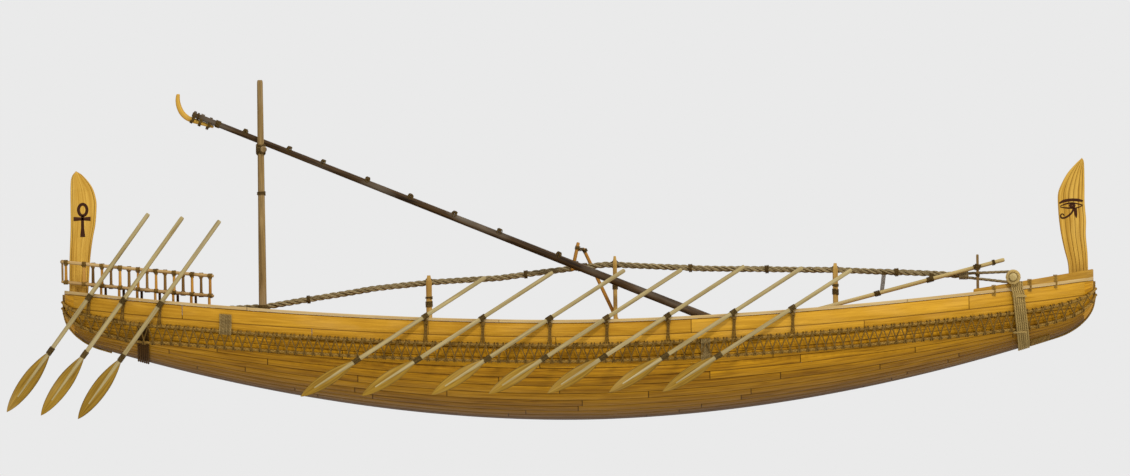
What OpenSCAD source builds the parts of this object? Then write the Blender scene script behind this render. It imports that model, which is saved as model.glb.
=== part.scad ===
// Rope-trussed wooden ship, lying afloat.
// Millimetres. +X to the bow, +Y to port, +Z up. The origin is amidships on the centreline at the waterline.

/* [Hull] */
// Length of the hull
hull_l = 17500; // [14500:10:21000]
// Greatest breadth of the planking
beam = 4200; // [3500:10:5100]
// Depth of the bottom below the waterline amidships
draught = 936; // [750:1:1150]
// Height of the sheer above the waterline amidships
freeboard = 715; // [600:1:880]
// Rise of the sheer from amidships to each end
sheer_rise = 610; // [500:5:750]
// Rise of the bottom from amidships to each end, before the ends round up
bottom_rise = 1510; // [1300:5:1600]
// Further rise of the bottom where the ends round up
end_round = 400; // [300:5:450]
// Width of the blunt ends
end_w = 280; // [270:5:400]
// Thickness of the planks
plank_t = 120; // [80:1:130]
// Depth of the deck, and of the lowest edge of the sheer strake, below the sheer
deck_drop = 430; // [350:5:450]
// Thickness of the deck
deck_t = 45; // [30:1:60]
// Height of the gunwale rail
gunwale_h = 50; // [40:1:70]
// Overhang of the gunwale rail past the planking, on each face
gunwale_lip = 15; // [5:1:25]
// Height of the cap plank above the gunwale rail at its aft end
cap_low = 50; // [30:1:80]
// Height of the cap plank above the gunwale rail at the bow
cap_high = 140; // [100:1:180]

/* [Posts] */
// Thickness of the carved boards at the bow and stern
post_t = 130; // [80:1:150]
// Height of the bow board above the gunwale
bow_post_h = 1990; // [1700:5:2300]
// Height of the stern board above the gunwale
stern_post_h = 2070; // [1700:5:2400]

/* [Stern railing] */
// Height of the top rail above the gunwale rail
top_rail_h = 490; // [400:5:600]
// Height of the lower rail above the gunwale rail
low_rail_h = 150; // [110:5:220]
// Radius of the rails
rail_r = 30; // [24:1:36]
// Radius of the balusters and of the posts below them
baluster_r = 20; // [14:1:23]
// Distance from one baluster to the next
baluster_step = 306; // [250:1:380]
// Distance of the rails from the centreline at the stern
rail_aft_y = 420; // [380:5:500]
// Distance of the rails from the centreline at their forward end
rail_fore_y = 1000; // [800:5:1050]
// Thickness of the steersmen's platform
platform_t = 40; // [25:1:50]

/* [Ropes] */
// Radius of the two girdle ropes
girdle_r = 25; // [15:1:30]
// Depth of the upper girdle rope below the sheer
girdle_top = 380; // [320:5:400]
// Depth of the lower girdle rope below the sheer
girdle_low = 645; // [560:5:700]
// Radius of the hogging truss
truss_r = 55; // [35:1:60]
// Radius of the crossbeams that the truss is made fast to
crossbeam_r = 68; // [50:1:80]
// Width of the rope belts round the hull
belt_w = 200; // [150:5:240]
// Thickness of the rope belts
belt_t = 40; // [25:1:45]
// Radius of the thin ropes that tie the oars down
tie_r = 12; // [8:1:16]

/* [Mast] */
// Length of the mast from its hinge
mast_l = 10090; // [9000:10:11000]
// Angle of the lowered mast above the level
mast_rest = 22.3; // [20:0.1:25]
// Distance of each mast foot from the centreline
foot_y = 500; // [420:5:560]
// Distance of each leg from the centreline at the masthead
head_y = 62; // [58:1:80]
// Radius of a mast leg at its foot
leg_foot_r = 76; // [66:1:92]
// Radius of a mast leg at its head
leg_head_r = 48; // [40:1:54]
// Height of the mast hinge above the deck
hinge_h = 150; // [140:5:190]
// Radius of a rung
rung_r = 26; // [18:1:34]
// Radius of a crutch post at the deck
crutch_foot_r = 72; // [55:1:80]
// Radius of a crutch post at its top
crutch_top_r = 51; // [40:1:55]
// Height of the crutch posts above the crossbar
crutch_over = 1180; // [900:10:1300]
// Distance of each crutch post from the centreline
crutch_y = 345; // [330:5:420]

/* [Rowing oars] */
// Radius of an oar shaft
oar_r = 36; // [28:1:40]
// Downward slope of an oar, in degrees
oar_slope = 31.5; // [29:0.5:34]
// Angle of a trailing oar off the line of the hull
oar_trail = 12; // [10:0.5:16]
// Depth of the blade tips below the waterline
tip_depth = 480; // [350:10:600]
// Length of a blade
oar_blade_l = 1130; // [900:10:1250]
// Width of a blade
oar_blade_w = 230; // [180:5:260]
// Thickness of a blade
blade_t = 34; // [24:1:44]

/* [Steering oars] */
// Radius of a steering oar's shaft
steer_r = 38; // [30:1:42]
// Slope of a steering oar, in degrees
steer_slope = 53.7; // [50:0.1:57]
// Length of a steering oar above the gunwale
steer_above = 1750; // [1500:10:1950]
// Length of a steering oar below the gunwale
steer_below = 2400; // [2200:10:2600]
// Length of a steering oar's blade
steer_blade_l = 1260; // [1000:10:1400]
// Width of a steering oar's blade
steer_blade_w = 270; // [200:5:300]

/* [Hidden] */

// Rowing oars from the stern forward, columns [share of the half length, inboard length]
ROWING = [[-0.2995, 1240], [-0.1886, 1450], [-0.0583, 1550], [0.0526, 1550], [0.1715, 1580], [0.2995, 1420],
          [0.4138, 1220]];
// Steering oars from the stern forward, share of the half length
STEERING = [-0.9526, -0.8864, -0.8145];
// Hogging truss, columns [share of the half length, height above the deck]
TRUSS = [[-0.8285, 150], [-0.69, 420], [-0.61, 515], [-0.396, 935], [-0.2925, 1075], [-0.153, 1185],
         [-0.017, 1350], [0.05, 1405], [0.0725, 1400], [0.236, 1275], [0.5, 1085], [0.682, 875], [0.74, 790],
         [0.80, 735]];
// Distances of the mast's rungs from its hinge
RUNGS = [3420, 4500, 5320, 6125, 6910, 7715, 8335, 9140];

half_l = hull_l / 2;
// Half length that the places along the hull are given for
plan_half_l = 8750;
function place(x) = x / plan_half_l * half_l;
gap = 0.3;
plan_p = 3;
plan_q = 0.6;
sheer_p = 1.75;
bottom_p = 1.9;
side_fullness = 0.8;
bilge_fullness = 0.9;
round_from = 0.93;
stations = 36;
end_stations = 4;
side_steps = 2;
bilge_steps = 9;
rope_sides = 12;
block_dish = 8;
cap_station = 28;

// ---- Hull form ----
function share(x) = min(1, abs(x) / half_l);
function half_b(x) = end_w / 2 + (beam - end_w) / 2 * pow(1 - pow(share(x), plan_p), plan_q);
function sheer_z(x) = freeboard + sheer_rise * pow(share(x), sheer_p);
function end_lift(u) = end_round * (1 - sqrt(1 - u * u));
function bottom_z(x) = -draught + bottom_rise * pow(share(x), bottom_p)
    + end_lift(max(0, (share(x) - round_from) / (1 - round_from)));
function deck_z(x) = sheer_z(x) - deck_drop;
function rail_z(x) = sheer_z(x) + gunwale_h;

// Angle round a section, from the sheer (0) to the keel (90), at a depth below the sheer
function section_angle(depth, full) = asin(min(1, pow(depth / full, 1 / bilge_fullness)));
// Point of a section: inset is the distance inside the outer face, a the angle, side 1 to port, -1 to starboard
function hull_point(x, inset, a, side) = [
    x,
    side * (half_b(x) - inset) * pow(max(0, cos(a)), side_fullness),
    sheer_z(x) - (sheer_z(x) - bottom_z(x) - inset) * pow(sin(a), bilge_fullness),
];
function seam_angle(x, inset) = section_angle(deck_drop, sheer_z(x) - bottom_z(x) - inset);
function station_x(i) = half_l * sin(90 * (2 * i / stations - 1));

// Half a section as points from angle a to the keel
function bilge(x, inset, side) = let (a = seam_angle(x, inset))
    [for (j = [0:bilge_steps]) hull_point(x, inset, a + (90 - a) * j / bilge_steps, side)];
function bilge_open(x, inset, side) = [for (j = [0:bilge_steps - 1]) bilge(x, inset, side)[j]];
function side_points(x, inset, side) = let (a = seam_angle(x, inset))
    [for (j = [0:side_steps]) hull_point(x, inset, a * j / side_steps, side)];
function turned(list) = [for (j = [len(list) - 1:-1:0]) list[j]];

function planking_ring(x) = concat(bilge(x, 0, 1), turned(bilge_open(x, 0, -1)),
    bilge(x, plank_t, -1), turned(bilge_open(x, plank_t, 1)));
function strake_ring(x, side) = concat(side_points(x, 0, side), turned(side_points(x, plank_t, side)));
function block_ring(x) = concat([[x, 0, sheer_z(x) - block_dish]], side_points(x, 0, 1), [for (j = [1:bilge_steps]) bilge(x, 0, 1)[j]],
    turned([for (j = [1:bilge_steps - 1]) bilge(x, 0, -1)[j]]), turned(side_points(x, 0, -1)));
function rect_ring(x, y0, y1, z0, z1) = [[x, y0, z0], [x, y1, z0], [x, y1, z1], [x, y0, z1]];

// Outward normal of the port side at angle a
function skin_normal(x, a) = let (e = 20, x0 = max(e - half_l, min(half_l - e, x)), a0 = max(1, min(89, a)))
    unit(cross(hull_point(x0 + e, 0, a0, 1) - hull_point(x0 - e, 0, a0, 1),
        hull_point(x0, 0, a0 + 1, 1) - hull_point(x0, 0, a0 - 1, 1)));
function unit(v) = v / norm(v);

// ---- General shapes ----
// Faces between ring i and ring k of n points each
function band_faces(i, k, n) = [for (j = [0:n - 1]) each [
    [i * n + j, k * n + j, k * n + (j + 1) % n], [i * n + j, k * n + (j + 1) % n, i * n + (j + 1) % n]]];
// Faces of a flat end: the ring's first half row against its second half
function end_faces(first, n) = [for (j = [0:n / 2 - 2]) [first + j, first + j + 1, first + n - 2 - j, first + n - 1 - j]];

// Solid through rings of equal length, one after another
module loft(rings) {
    n = len(rings[0]);
    m = len(rings);
    polyhedron(
        points = [for (ring = rings) each ring],
        faces = concat(
            end_faces(0, n),
            [for (i = [0:m - 2]) each band_faces(i, i + 1, n)],
            [for (face = end_faces((m - 1) * n, n)) turned(face)]
        )
    );
}

// Closed ring of rings
module loop_loft(rings) {
    n = len(rings[0]);
    m = len(rings);
    polyhedron(
        points = [for (ring = rings) each ring],
        faces = [for (i = [0:m - 1]) each band_faces(i, (i + 1) % m, n)]
    );
}

function tube_ring(p, t, r) = let (a = unit(cross([0, 0, 1], t)), c = cross(t, a))
    [for (k = [0:rope_sides - 1]) let (w = (k + 0.5) * 360 / rope_sides) p + r * (cos(w) * a + sin(w) * c)];

// Round bar from p to q
module rod(p, q, r0, r1) {
    d = q - p;
    translate(p) rotate([0, 0, atan2(d[1], d[0])]) rotate([0, acos(d[2] / norm(d)), 0])
        cylinder(r1 = r0, r2 = r1, h = norm(d), $fn = 32);
}

// The same rod in 36 long flats, for a spar too slender for its curved faces to be meshed closely
module facet_rod(p, q, r0, r1) {
    d = q - p;
    translate(p) rotate([0, 0, atan2(d[1], d[0])]) rotate([0, acos(d[2] / norm(d)), 0]) hull() {
        cylinder(r = r0, h = 1, $fn = 36);
        translate([0, 0, norm(d) - 1]) cylinder(r = r1, h = 1, $fn = 36);
    }
}

module mirrored(side) {
    if (side > 0) children();
    else mirror([0, 1, 0]) children();
}

// ---- Hull ----
function xs(from, to) = [for (i = [from:to]) station_x(i)];
body_from = end_stations;
body_to = stations - end_stations;
block_x = station_x(body_to);

module hull_planking() {
    color("darkgoldenrod") loft([for (x = xs(body_from, body_to)) planking_ring(x)]);
}

module sheer_strake(side) {
    color("goldenrod") mirrored(side) loft([for (x = xs(body_from, body_to)) turned(strake_ring(x, 1))]);
}

module gunwale(side) {
    color("burlywood") mirrored(side) loft([for (x = xs(0, stations))
        rect_ring(x, half_b(x) - plank_t - gunwale_lip, half_b(x) + gunwale_lip, sheer_z(x), rail_z(x))]);
}

module end_block(from, to) {
    color("goldenrod") loft([for (x = xs(from, to)) block_ring(x)]);
}

module bow_caps() {
    cap_x = station_x(cap_station);
    color("wheat") for (side = [1, -1]) mirrored(side) loft([for (x = xs(cap_station, stations))
        rect_ring(x, half_b(x) - plank_t, half_b(x), rail_z(x),
            rail_z(x) + cap_low + (cap_high - cap_low) * (x - cap_x) / (half_l - cap_x))]);
}

module deck() {
    color("peru") loft([for (x = xs(body_from, body_to)) deck_ring(x)]);
}
// Height of the deck's boards, which run straight from station to station
function deck_floor(x) = lookup(x, [for (v = xs(body_from, body_to)) [v, deck_z(v)]]);
function floor_under(x, half) = max(deck_floor(x - half), deck_floor(x + half)) + gap;
function deck_low_y(x) = let (full = sheer_z(x) - bottom_z(x) - plank_t)
    hull_point(x, plank_t, section_angle(deck_drop + deck_t, full), 1)[1] - 6;
function deck_ring(x) = let (y = hull_point(x, plank_t, seam_angle(x, plank_t), 1)[1])
    [[x, -deck_low_y(x), deck_z(x) - deck_t], [x, deck_low_y(x), deck_z(x) - deck_t],
     [x, y, deck_z(x)], [x, -y, deck_z(x)]];

// ---- Carved boards ----
bow_post_x = half_l - 420;
stern_post_x = -half_l + 85;
post_seat = -0.75 * block_dish;

module bow_post() {
    h = bow_post_h / 1990;
    z = sheer_z(bow_post_x);
    color("gold") rotate([90, 0, 0]) linear_extrude(post_t, center = true)
        translate([bow_post_x, z]) scale([1, h]) polygon([
            [0, post_seat], [330, sheer_z(bow_post_x + 330) - z + post_seat], [325, 470], [300, 800], [306, 1080], [286, 1370],
            [288, 1680], [284, 2040], [250, 2130], [140, 2030], [-10, 1860], [-125, 1650], [-168, 1510],
            [-170, 1320], [-155, 1085], [-125, 845], [-75, 590], [-12, 320],
        ]);
}

module stern_post() {
    h = stern_post_h / 2070;
    z = sheer_z(stern_post_x + 320);
    color("gold") rotate([90, 0, 0]) linear_extrude(post_t, center = true)
        translate([stern_post_x, z]) scale([1, h]) polygon([
            [0, sheer_z(stern_post_x) - z + post_seat], [320, post_seat], [365, 620], [412, 970], [460, 1210], [482, 1450],
            [478, 1640], [408, 1860], [258, 2050], [140, 2128], [72, 2040], [46, 1900], [40, 1500], [36, 1130],
            [10, 590],
        ]);
}

// ---- Stern railing ----
rail_x = [for (s = [-1.003, -0.903, -0.806, -0.7095]) s * half_l];
rail_last = len(rail_x) - 1;
function rail_y(x) = rail_aft_y + rail_plan * (x - rail_x[0]);
rail_plan = (rail_fore_y - rail_aft_y) / (rail_x[rail_last] - rail_x[0]);
function rail_base(x) = lookup(x, [for (v = rail_x) [v, rail_z(v)]]);
function rail_point(x, lift) = [x, rail_y(x), rail_base(x) + lift];

function rail_slope(x) = abs(rail_base(x + 5) - rail_base(x - 5)) / 10;
rail_flat = rail_r * cos(180 / rope_sides);

module rail(lift) {
    n = len(rail_x);
    loft([for (i = [0:n - 1]) tube_ring(rail_point(rail_x[i], lift),
        unit(rail_point(rail_x[min(i + 1, n - 1)], lift) - rail_point(rail_x[max(i - 1, 0)], lift)), rail_r)]);
}

// Upright between heights z0 and z1 at x, its ends just clear of sloping faces
module upright(x, z0, z1) {
    clear = baluster_r * rail_slope(x) + 2 * gap;
    translate([x, rail_y(x), z0 + clear]) cylinder(r = baluster_r, h = z1 - z0 - 2 * clear, $fn = 32);
}

module stern_railing(side) {
    shift = side > 0 ? baluster_step / 2 : 0;
    first = rail_x[0] + 60;
    last = rail_x[rail_last] - 40;
    color("sienna") mirrored(side) {
        rail(top_rail_h);
        rail(low_rail_h);
        for (x = [first + shift:baluster_step:last])
            upright(x, rail_base(x) + low_rail_h + rail_flat, rail_base(x) + top_rail_h - rail_flat);
        for (x = [max(first, 60 - block_x) + shift / 2 + 40:baluster_step:last])
            upright(x, deck_floor(x), rail_base(x) + low_rail_h - rail_flat);
    }
}

module stern_railing_aft() {
    y = rail_aft_y - rail_flat - gap;
    x = rail_x[0];
    color("sienna") {
        for (lift = [low_rail_h, top_rail_h])
            rod([x, -y, rail_base(x) + lift], [x, y, rail_base(x) + lift], rail_r - 4, rail_r - 4);
        for (place = [-0.6, 0, 0.6])
            rod([x, place * y, rail_base(x) + low_rail_h], [x, place * y, rail_base(x) + top_rail_h],
                baluster_r, baluster_r);
    }
}

// Steersmen's platform, between the lower rails
platform_from = stern_post_x + 540;
module stern_platform() {
    color("peru") loft([for (x = concat([platform_from], [for (i = [1:rail_last]) rail_x[i]]))
        let (y = rail_y(x) - rail_flat * norm([1, rail_plan]) - gap, z = rail_base(x) + low_rail_h)
        rect_ring(x, -y, y, z - platform_t / 2, z + platform_t / 2)]);
}

// ---- Ropes round the hull ----
stern_belt_x = -0.847 * half_l;
bow_belt_x = 0.850 * half_l;
bow_belt_rake = 0.115;

// How far the girdle stands off the planking as it crosses the stern belt
function girdle_bump(x) = (belt_t + 3) * max(0, min(1, (belt_w / 2 + 340 - abs(x - stern_belt_x)) / 300));
function girdle_offset(x) = girdle_r + 2 + girdle_bump(x);
function girdle_xs() = concat(xs(1, 5), [for (d = [-250, -135, 0, 135, 250]) stern_belt_x + d], xs(8, stations - 1));
function girdle_side(depth) = [for (x = girdle_xs()) let (a = girdle_angle(x, depth))
    hull_point(x, 0, a, 1) + girdle_offset(x) * skin_normal(x, a)];
function girdle_angle(x, depth) = section_angle(end_depth(x, depth), sheer_z(x) - bottom_z(x));
// The ropes draw together where the ends are shallow
function end_depth(x, depth) = min(depth, depth * (sheer_z(x) - bottom_z(x)) / 950);
function girdle_end(s, depth) = let (x = s * half_l, p = hull_point(x, 0, girdle_angle(x, depth), 1), o = girdle_r + 5)
    [for (w = [-1, 0, 1]) [x + s * o * (1.2 - 0.45 * abs(w)), w * (p[1] + 0.66 * o), p[2]]];
function girdle_path(depth) = let (port = girdle_side(depth))
    concat(port, [for (p = turned(girdle_end(1, depth))) p], [for (p = turned(port)) [p[0], -p[1], p[2]]],
        girdle_end(-1, depth));

module girdle_ropes() {
    color("tan") for (depth = [girdle_top, girdle_low]) {
        path = girdle_path(depth);
        n = len(path);
        loop_loft([for (i = [0:n - 1])
            tube_ring(path[i], unit(path[(i + 1) % n] - path[(i + n - 1) % n]), girdle_r)]);
    }
}

// Belt of ropes round the hull at x, leaning forward with depth; off(a) is its distance from the planking
belt_steps = 12;
function belt_point(x, a, off, side) = let (p = hull_point(x, 0, a, 1) + off * skin_normal(x, a))
    [p[0], a == 90 ? 0 : side * p[1], p[2]];
function belt_ring(x, a, off, side) = [
    belt_point(x - belt_w / 2, a, off, side), belt_point(x + belt_w / 2, a, off, side),
    belt_point(x + belt_w / 2, a, off + belt_t, side), belt_point(x - belt_w / 2, a, off + belt_t, side)];
function stern_belt_ring(a, side) = belt_ring(stern_belt_x, a, 1.5, side);
function bow_belt_off(a) = a < 55 ? 2 * girdle_r + 6 : 2 * girdle_r + 6 - (2 * girdle_r + 3) * (a - 55) / 35;
function bow_belt_ring(a, side) = belt_ring(bow_belt_x + bow_belt_rake * 900 * sin(a), a, bow_belt_off(a), side);
beam_x = place(7384);
beam_z = rail_z(beam_x) + 175;
belt_top = beam_z - crossbeam_r - gap;
function bow_belt_head(side) = let (r = bow_belt_ring(1, side))
    [for (p = r) [p[0] - 20, p[1], belt_top]];

module stern_belt() {
    first = 22;
    angles = [for (j = [0:belt_steps]) first + (90 - first) * j / belt_steps];
    color("saddlebrown") loft(concat(
        [for (a = angles) stern_belt_ring(a, 1)],
        [for (j = [belt_steps - 1:-1:0]) stern_belt_ring(angles[j], -1)]));
}

module bow_belt() {
    angles = [for (j = [0:belt_steps]) 1 + 89 * j / belt_steps];
    color("olivedrab") loft(concat(
        [bow_belt_head(1)],
        [for (a = angles) bow_belt_ring(a, 1)],
        [for (j = [belt_steps - 1:-1:0]) bow_belt_ring(angles[j], -1)],
        [bow_belt_head(-1)]));
}

// ---- Hogging truss ----
stern_beam_x = TRUSS[0][0] * half_l - crossbeam_r - gap;
stern_beam_z = deck_floor(stern_beam_x) + crossbeam_r * 1.008 + gap;
stern_beam_y = hull_point(stern_beam_x - crossbeam_r, plank_t, seam_angle(stern_beam_x, plank_t), 1)[1] - 12;
last_truss = len(TRUSS) - 1;
truss_path = concat(
    [[stern_beam_x + crossbeam_r + gap, 0, stern_beam_z]],
    [for (i = [1:last_truss]) [TRUSS[i][0] * half_l, 0, deck_z(TRUSS[i][0] * half_l) + TRUSS[i][1]]],
    [[beam_x - crossbeam_r - gap, 0, beam_z]]);
function truss_z(x) = lookup(x, [for (p = truss_path) [p[0], p[2]]]);

module hogging_truss() {
    n = len(truss_path);
    color("tan") loft([for (i = [0:n - 1]) tube_ring(truss_path[i],
        i == 0 || i == n - 1 ? [1, 0, 0] : unit(truss_path[i + 1] - truss_path[i - 1]), truss_r)]);
}

module crossbeam(x, z, y) {
    color("peru") translate([x, 0, z]) rotate([90, 0, 0]) cylinder(r = crossbeam_r, h = 2 * y, center = true, $fn = 48);
}

// Forked post under the truss, depth along the ship, over is how far the prongs pass the rope's centre
module truss_crutch(x, depth, over) {
    z = truss_z(x) + max(abs(truss_z(x + depth / 2) - truss_z(x)), abs(truss_z(x - depth / 2) - truss_z(x)));
    base = floor_under(x, depth / 2);
    slot = truss_r + 4;
    seat = min(truss_z(x - depth / 2), truss_z(x + depth / 2)) - truss_r / cos(atan(0.2)) - gap;
    color("khaki") translate([x, 0, 0]) rotate([90, 0, 90]) linear_extrude(depth, center = true) polygon([
        [-48, base], [48, base], [50, seat - 160], [slot + 42, seat - 20], [slot + 36, z + over - 40],
        [slot + 14, z + over], [slot, z + over - 60], [slot, seat], [-slot, seat], [-slot, z + over - 60],
        [-slot - 14, z + over], [-slot - 36, z + over - 40], [-slot - 42, seat - 20], [-50, seat - 160],
    ]);
}

// Pole that tightens the truss, lying along its starboard side
pole_y = -truss_r - 60;
pole_r = 38;
pole_from = [place(3500), pole_y, deck_z(0.4 * half_l) + 340];
pole_to = [place(7240), pole_y, beam_z + crossbeam_r + 230];

module lever_pole() {
    color("sienna") rod(pole_from, pole_to, pole_r, pole_r);
}

module lever_stake() {
    x = place(6780);
    r = 27;
    color("khaki") translate([x, pole_y - pole_r - r - gap, floor_under(x, r)])
        cylinder(r = r, h = beam_z + 390 - deck_z(x), $fn = 32);
}

// Two sticks twisted into the truss amidships
module truss_levers() {
    x = place(400);
    lever_r = 25;
    side = truss_r * cos(180 / rope_sides) + lever_r + gap;
    color("sienna") {
        rod([x + 340, side, deck_z(x) + 250], [x - 320, side, truss_z(x) + 290], lever_r, lever_r);
        rod([x - 510, -side, truss_z(x) - 90], [x - 400, -side, truss_z(x) + 390], lever_r, lever_r);
    }
}

// ---- Mast ----
hinge_x = place(2800);
hinge_z = deck_z(hinge_x) + hinge_h;
foot_r = leg_foot_r + 8;
// Point of the lowered mast: along it, across it and above it
function mast_point(s, y, n) = [
    hinge_x - s * cos(mast_rest) + n * sin(mast_rest), y, hinge_z + s * sin(mast_rest) + n * cos(mast_rest)];
function leg_y(s) = foot_y + (head_y - foot_y) * s / mast_l;
function leg_r(s) = leg_foot_r + (leg_head_r - leg_foot_r) * s / mast_l;

module mast_legs() {
    color("saddlebrown") for (side = [1, -1]) {
        facet_rod(mast_point(0, side * foot_y, 0), mast_point(mast_l, side * head_y, 0), leg_foot_r, leg_head_r);
        translate([hinge_x, side * foot_y, hinge_z]) rotate([90, 0, 0])
            cylinder(r = foot_r, h = 2 * leg_foot_r, center = true, $fn = 48);
    }
}

module mast_rungs() {
    color("sienna") for (s = RUNGS)
        rod(mast_point(s, leg_y(s) + leg_r(s) * 0.6, leg_r(s) + rung_r + gap),
            mast_point(s, -leg_y(s) - leg_r(s) * 0.6, leg_r(s) + rung_r + gap), rung_r, rung_r);
}

// Crook lashed under the masthead, columns [distance past the head, height of its back over the mast's line,
// thickness]
CROOK = [[-420, 0, 46], [-120, 0, 84], [0, 0, 92], [70, 12, 96], [150, 50, 96], [225, 118, 90], [282, 200, 78],
         [318, 290, 62]];
crook_w = 110;
function crook_dir(i) = let (a = CROOK[max(i - 1, 0)], b = CROOK[min(i + 1, len(CROOK) - 1)])
    unit([b[0] - a[0], b[1] - a[1], 0]);
module mast_head() {
    under = [for (i = [0:len(CROOK) - 1]) let (p = CROOK[i], d = crook_dir(i))
        [p[0] + p[2] * d[1], p[1] - p[2] * d[0]]];
    reach = max(0, head_y - crook_w / 2);
    drop = sqrt(pow(leg_head_r, 2) - pow(reach, 2)) + 2 * gap;
    color("wheat") multmatrix([
            [-cos(mast_rest), 0, sin(mast_rest), hinge_x], [0, 1, 0, 0],
            [sin(mast_rest), 0, cos(mast_rest), hinge_z], [0, 0, 0, 1]])
        rotate([90, 0, 0]) linear_extrude(crook_w, center = true) translate([mast_l, -drop])
            polygon(concat([for (p = CROOK) [p[0], p[1]]], turned(under)));
}

module mast_step() {
    top = hinge_z - 78;
    base = floor_under(hinge_x, 84);
    color("peru") for (side = [1, -1]) difference() {
        translate([hinge_x - 84, side * foot_y - 130, base]) cube([168, 260, top - base]);
        translate([hinge_x, side * foot_y, hinge_z]) rotate([90, 0, 0])
            cylinder(r = foot_r + 1, h = 400, center = true, $fn = 48);
    }
}

// Two posts and a crossbar that the lowered mast lies on
crutch_x = place(-5290);
bar_r = 60;
bar_ahead = 45;
bar_s = (hinge_x - crutch_x) / cos(mast_rest);
bar_n = -leg_r(bar_s) - bar_r - 1.2 * gap;

module mast_crutch() {
    bar = mast_point(bar_s, 0, bar_n);
    base = floor_under(bar[0] - bar_ahead, crutch_foot_r);
    color("khaki") {
        for (side = [1, -1]) translate([bar[0] - bar_ahead, side * crutch_y, base])
            cylinder(r1 = crutch_foot_r, r2 = crutch_top_r, h = bar[2] + crutch_over - base, $fn = 32);
        translate(bar) rotate([90, 0, 0])
            cylinder(r = bar_r, h = 2 * (crutch_y + crutch_foot_r + 60), center = true, $fn = 32);
    }
}

// ---- Oars ----
// Lance-shaped blade along +X from its root, lying in the XZ plane
module blade(l, w, t, root_r) {
    rotate([90, 0, 0]) linear_extrude(t, center = true) polygon([
        [0, -root_r * 0.7], [l * 0.16, -w * 0.30], [l * 0.34, -w * 0.46], [l * 0.5, -w * 0.5],
        [l * 0.66, -w * 0.46], [l * 0.82, -w * 0.33], [l * 0.94, -w * 0.15], [l, 0], [l * 0.94, w * 0.15],
        [l * 0.82, w * 0.33], [l * 0.66, w * 0.46], [l * 0.5, w * 0.5], [l * 0.34, w * 0.46],
        [l * 0.16, w * 0.30], [0, root_r * 0.7],
    ]);
}

// Oar along +X: its shaft runs from -above to the blade, and a rib runs down the blade
module oar(above, below, r, blade_l, blade_w) {
    rotate([0, 90, 0]) translate([0, 0, -above]) cylinder(r = r, h = above + below - blade_l + 60, $fn = 32);
    rotate([0, 90, 0]) translate([0, 0, below - blade_l + 60])
        cylinder(r1 = r, r2 = blade_t / 2 - 1, h = blade_l * 0.7, $fn = 32);
    translate([below - blade_l, 0, 0]) blade(blade_l, blade_w, blade_t, r);
}

// Rowing oars pivot just outside the gunwale
row_over = 20;
row_out = 20;
function row_x(i) = ROWING[i][0] * half_l;
function row_pivot(i) = [row_x(i), half_b(row_x(i)) + gunwale_lip + oar_r + row_out, rail_z(row_x(i)) + row_over];

module rowing_oar(i, side) {
    p = row_pivot(i);
    color("darkkhaki") mirrored(side) translate(p) rotate([0, 0, 180 - oar_trail]) rotate([0, oar_slope, 0])
        oar(ROWING[i][1], (p[2] + tip_depth) / sin(oar_slope), oar_r, oar_blade_l, oar_blade_w);
}

// Steering oars cross the gunwale just clear of it
function steer_x(i) = STEERING[i] * half_l;
function steer_pivot(i) = [steer_x(i), half_b(steer_x(i) + 120) + gunwale_lip + steer_r + 6, sheer_z(steer_x(i)) - 20];

module steering_oar(i, side) {
    color("darkkhaki") mirrored(side) translate(steer_pivot(i)) rotate([0, 180 - steer_slope, 0]) mirror([0, 0, 1])
        oar(steer_above, steer_below, steer_r, steer_blade_l, steer_blade_w);
}

// Thin rope from the upper girdle rope at x up to the point top, drawn thin where it meets the shaft
function girdle_at(x) = let (path = girdle_side(girdle_top))
    [x, lookup(x, [for (p = path) [p[0], p[1]]]), lookup(x, [for (p = path) [p[0], p[2]]])];

module oar_tie(x, top) {
    rope = girdle_at(x);
    along = unit(top - rope);
    lean = abs(along * unit(girdle_at(x + 5) - girdle_at(x - 5)));
    start = (girdle_r + gap + tie_r * lean) / sqrt(1 - lean * lean);
    rod(rope + start * along, top, tie_r, tie_r / 4);
}

module oar_ties() {
    color("tan") for (side = [1, -1], i = [0:len(ROWING) - 1])
        mirrored(side) oar_tie(row_x(i),
            row_pivot(i) - [0, 0, (oar_r + gap) / cos(oar_slope) + tie_r / 4 * tan(oar_slope)]);
}

module steering_ties() {
    color("tan") for (side = [1, -1], i = [0:len(STEERING) - 1])
        mirrored(side) oar_tie(steer_x(i),
            steer_pivot(i) + (steer_r + gap + tie_r / 4) * [sin(steer_slope), 0, -cos(steer_slope)]);
}

hull_planking();
sheer_strake(1);  // sheer_strake_port
sheer_strake(-1);  // sheer_strake_starboard
gunwale(1);  // gunwale_port
gunwale(-1);  // gunwale_starboard
end_block(body_to, stations);  // bow_block
end_block(0, body_from);  // stern_block
bow_caps();
deck();
bow_post();
stern_post();
stern_platform();
stern_railing(1);  // stern_railing_port
stern_railing(-1);  // stern_railing_starboard
stern_railing_aft();
girdle_ropes();
hogging_truss();
truss_crutch(place(-2550), 108, 120);  // truss_crutch_aft
truss_crutch(place(615), 78, 150);  // truss_crutch_mid
truss_crutch(place(4360), 98, 120);  // truss_crutch_fore
crossbeam(beam_x, beam_z, half_b(beam_x) + 190);  // bow_crossbeam
crossbeam(stern_beam_x, stern_beam_z, stern_beam_y);  // stern_crossbeam
bow_belt();
stern_belt();
lever_pole();
lever_stake();
truss_levers();
mast_crutch();
mast_step();
oar_ties();
steering_ties();
mast_legs();
mast_rungs();
mast_head();
rowing_oar(0, 1);  // rowing_oar_port_1
rowing_oar(1, 1);  // rowing_oar_port_2
rowing_oar(2, 1);  // rowing_oar_port_3
rowing_oar(3, 1);  // rowing_oar_port_4
rowing_oar(4, 1);  // rowing_oar_port_5
rowing_oar(5, 1);  // rowing_oar_port_6
rowing_oar(6, 1);  // rowing_oar_port_7
rowing_oar(0, -1);  // rowing_oar_starboard_1
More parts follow.
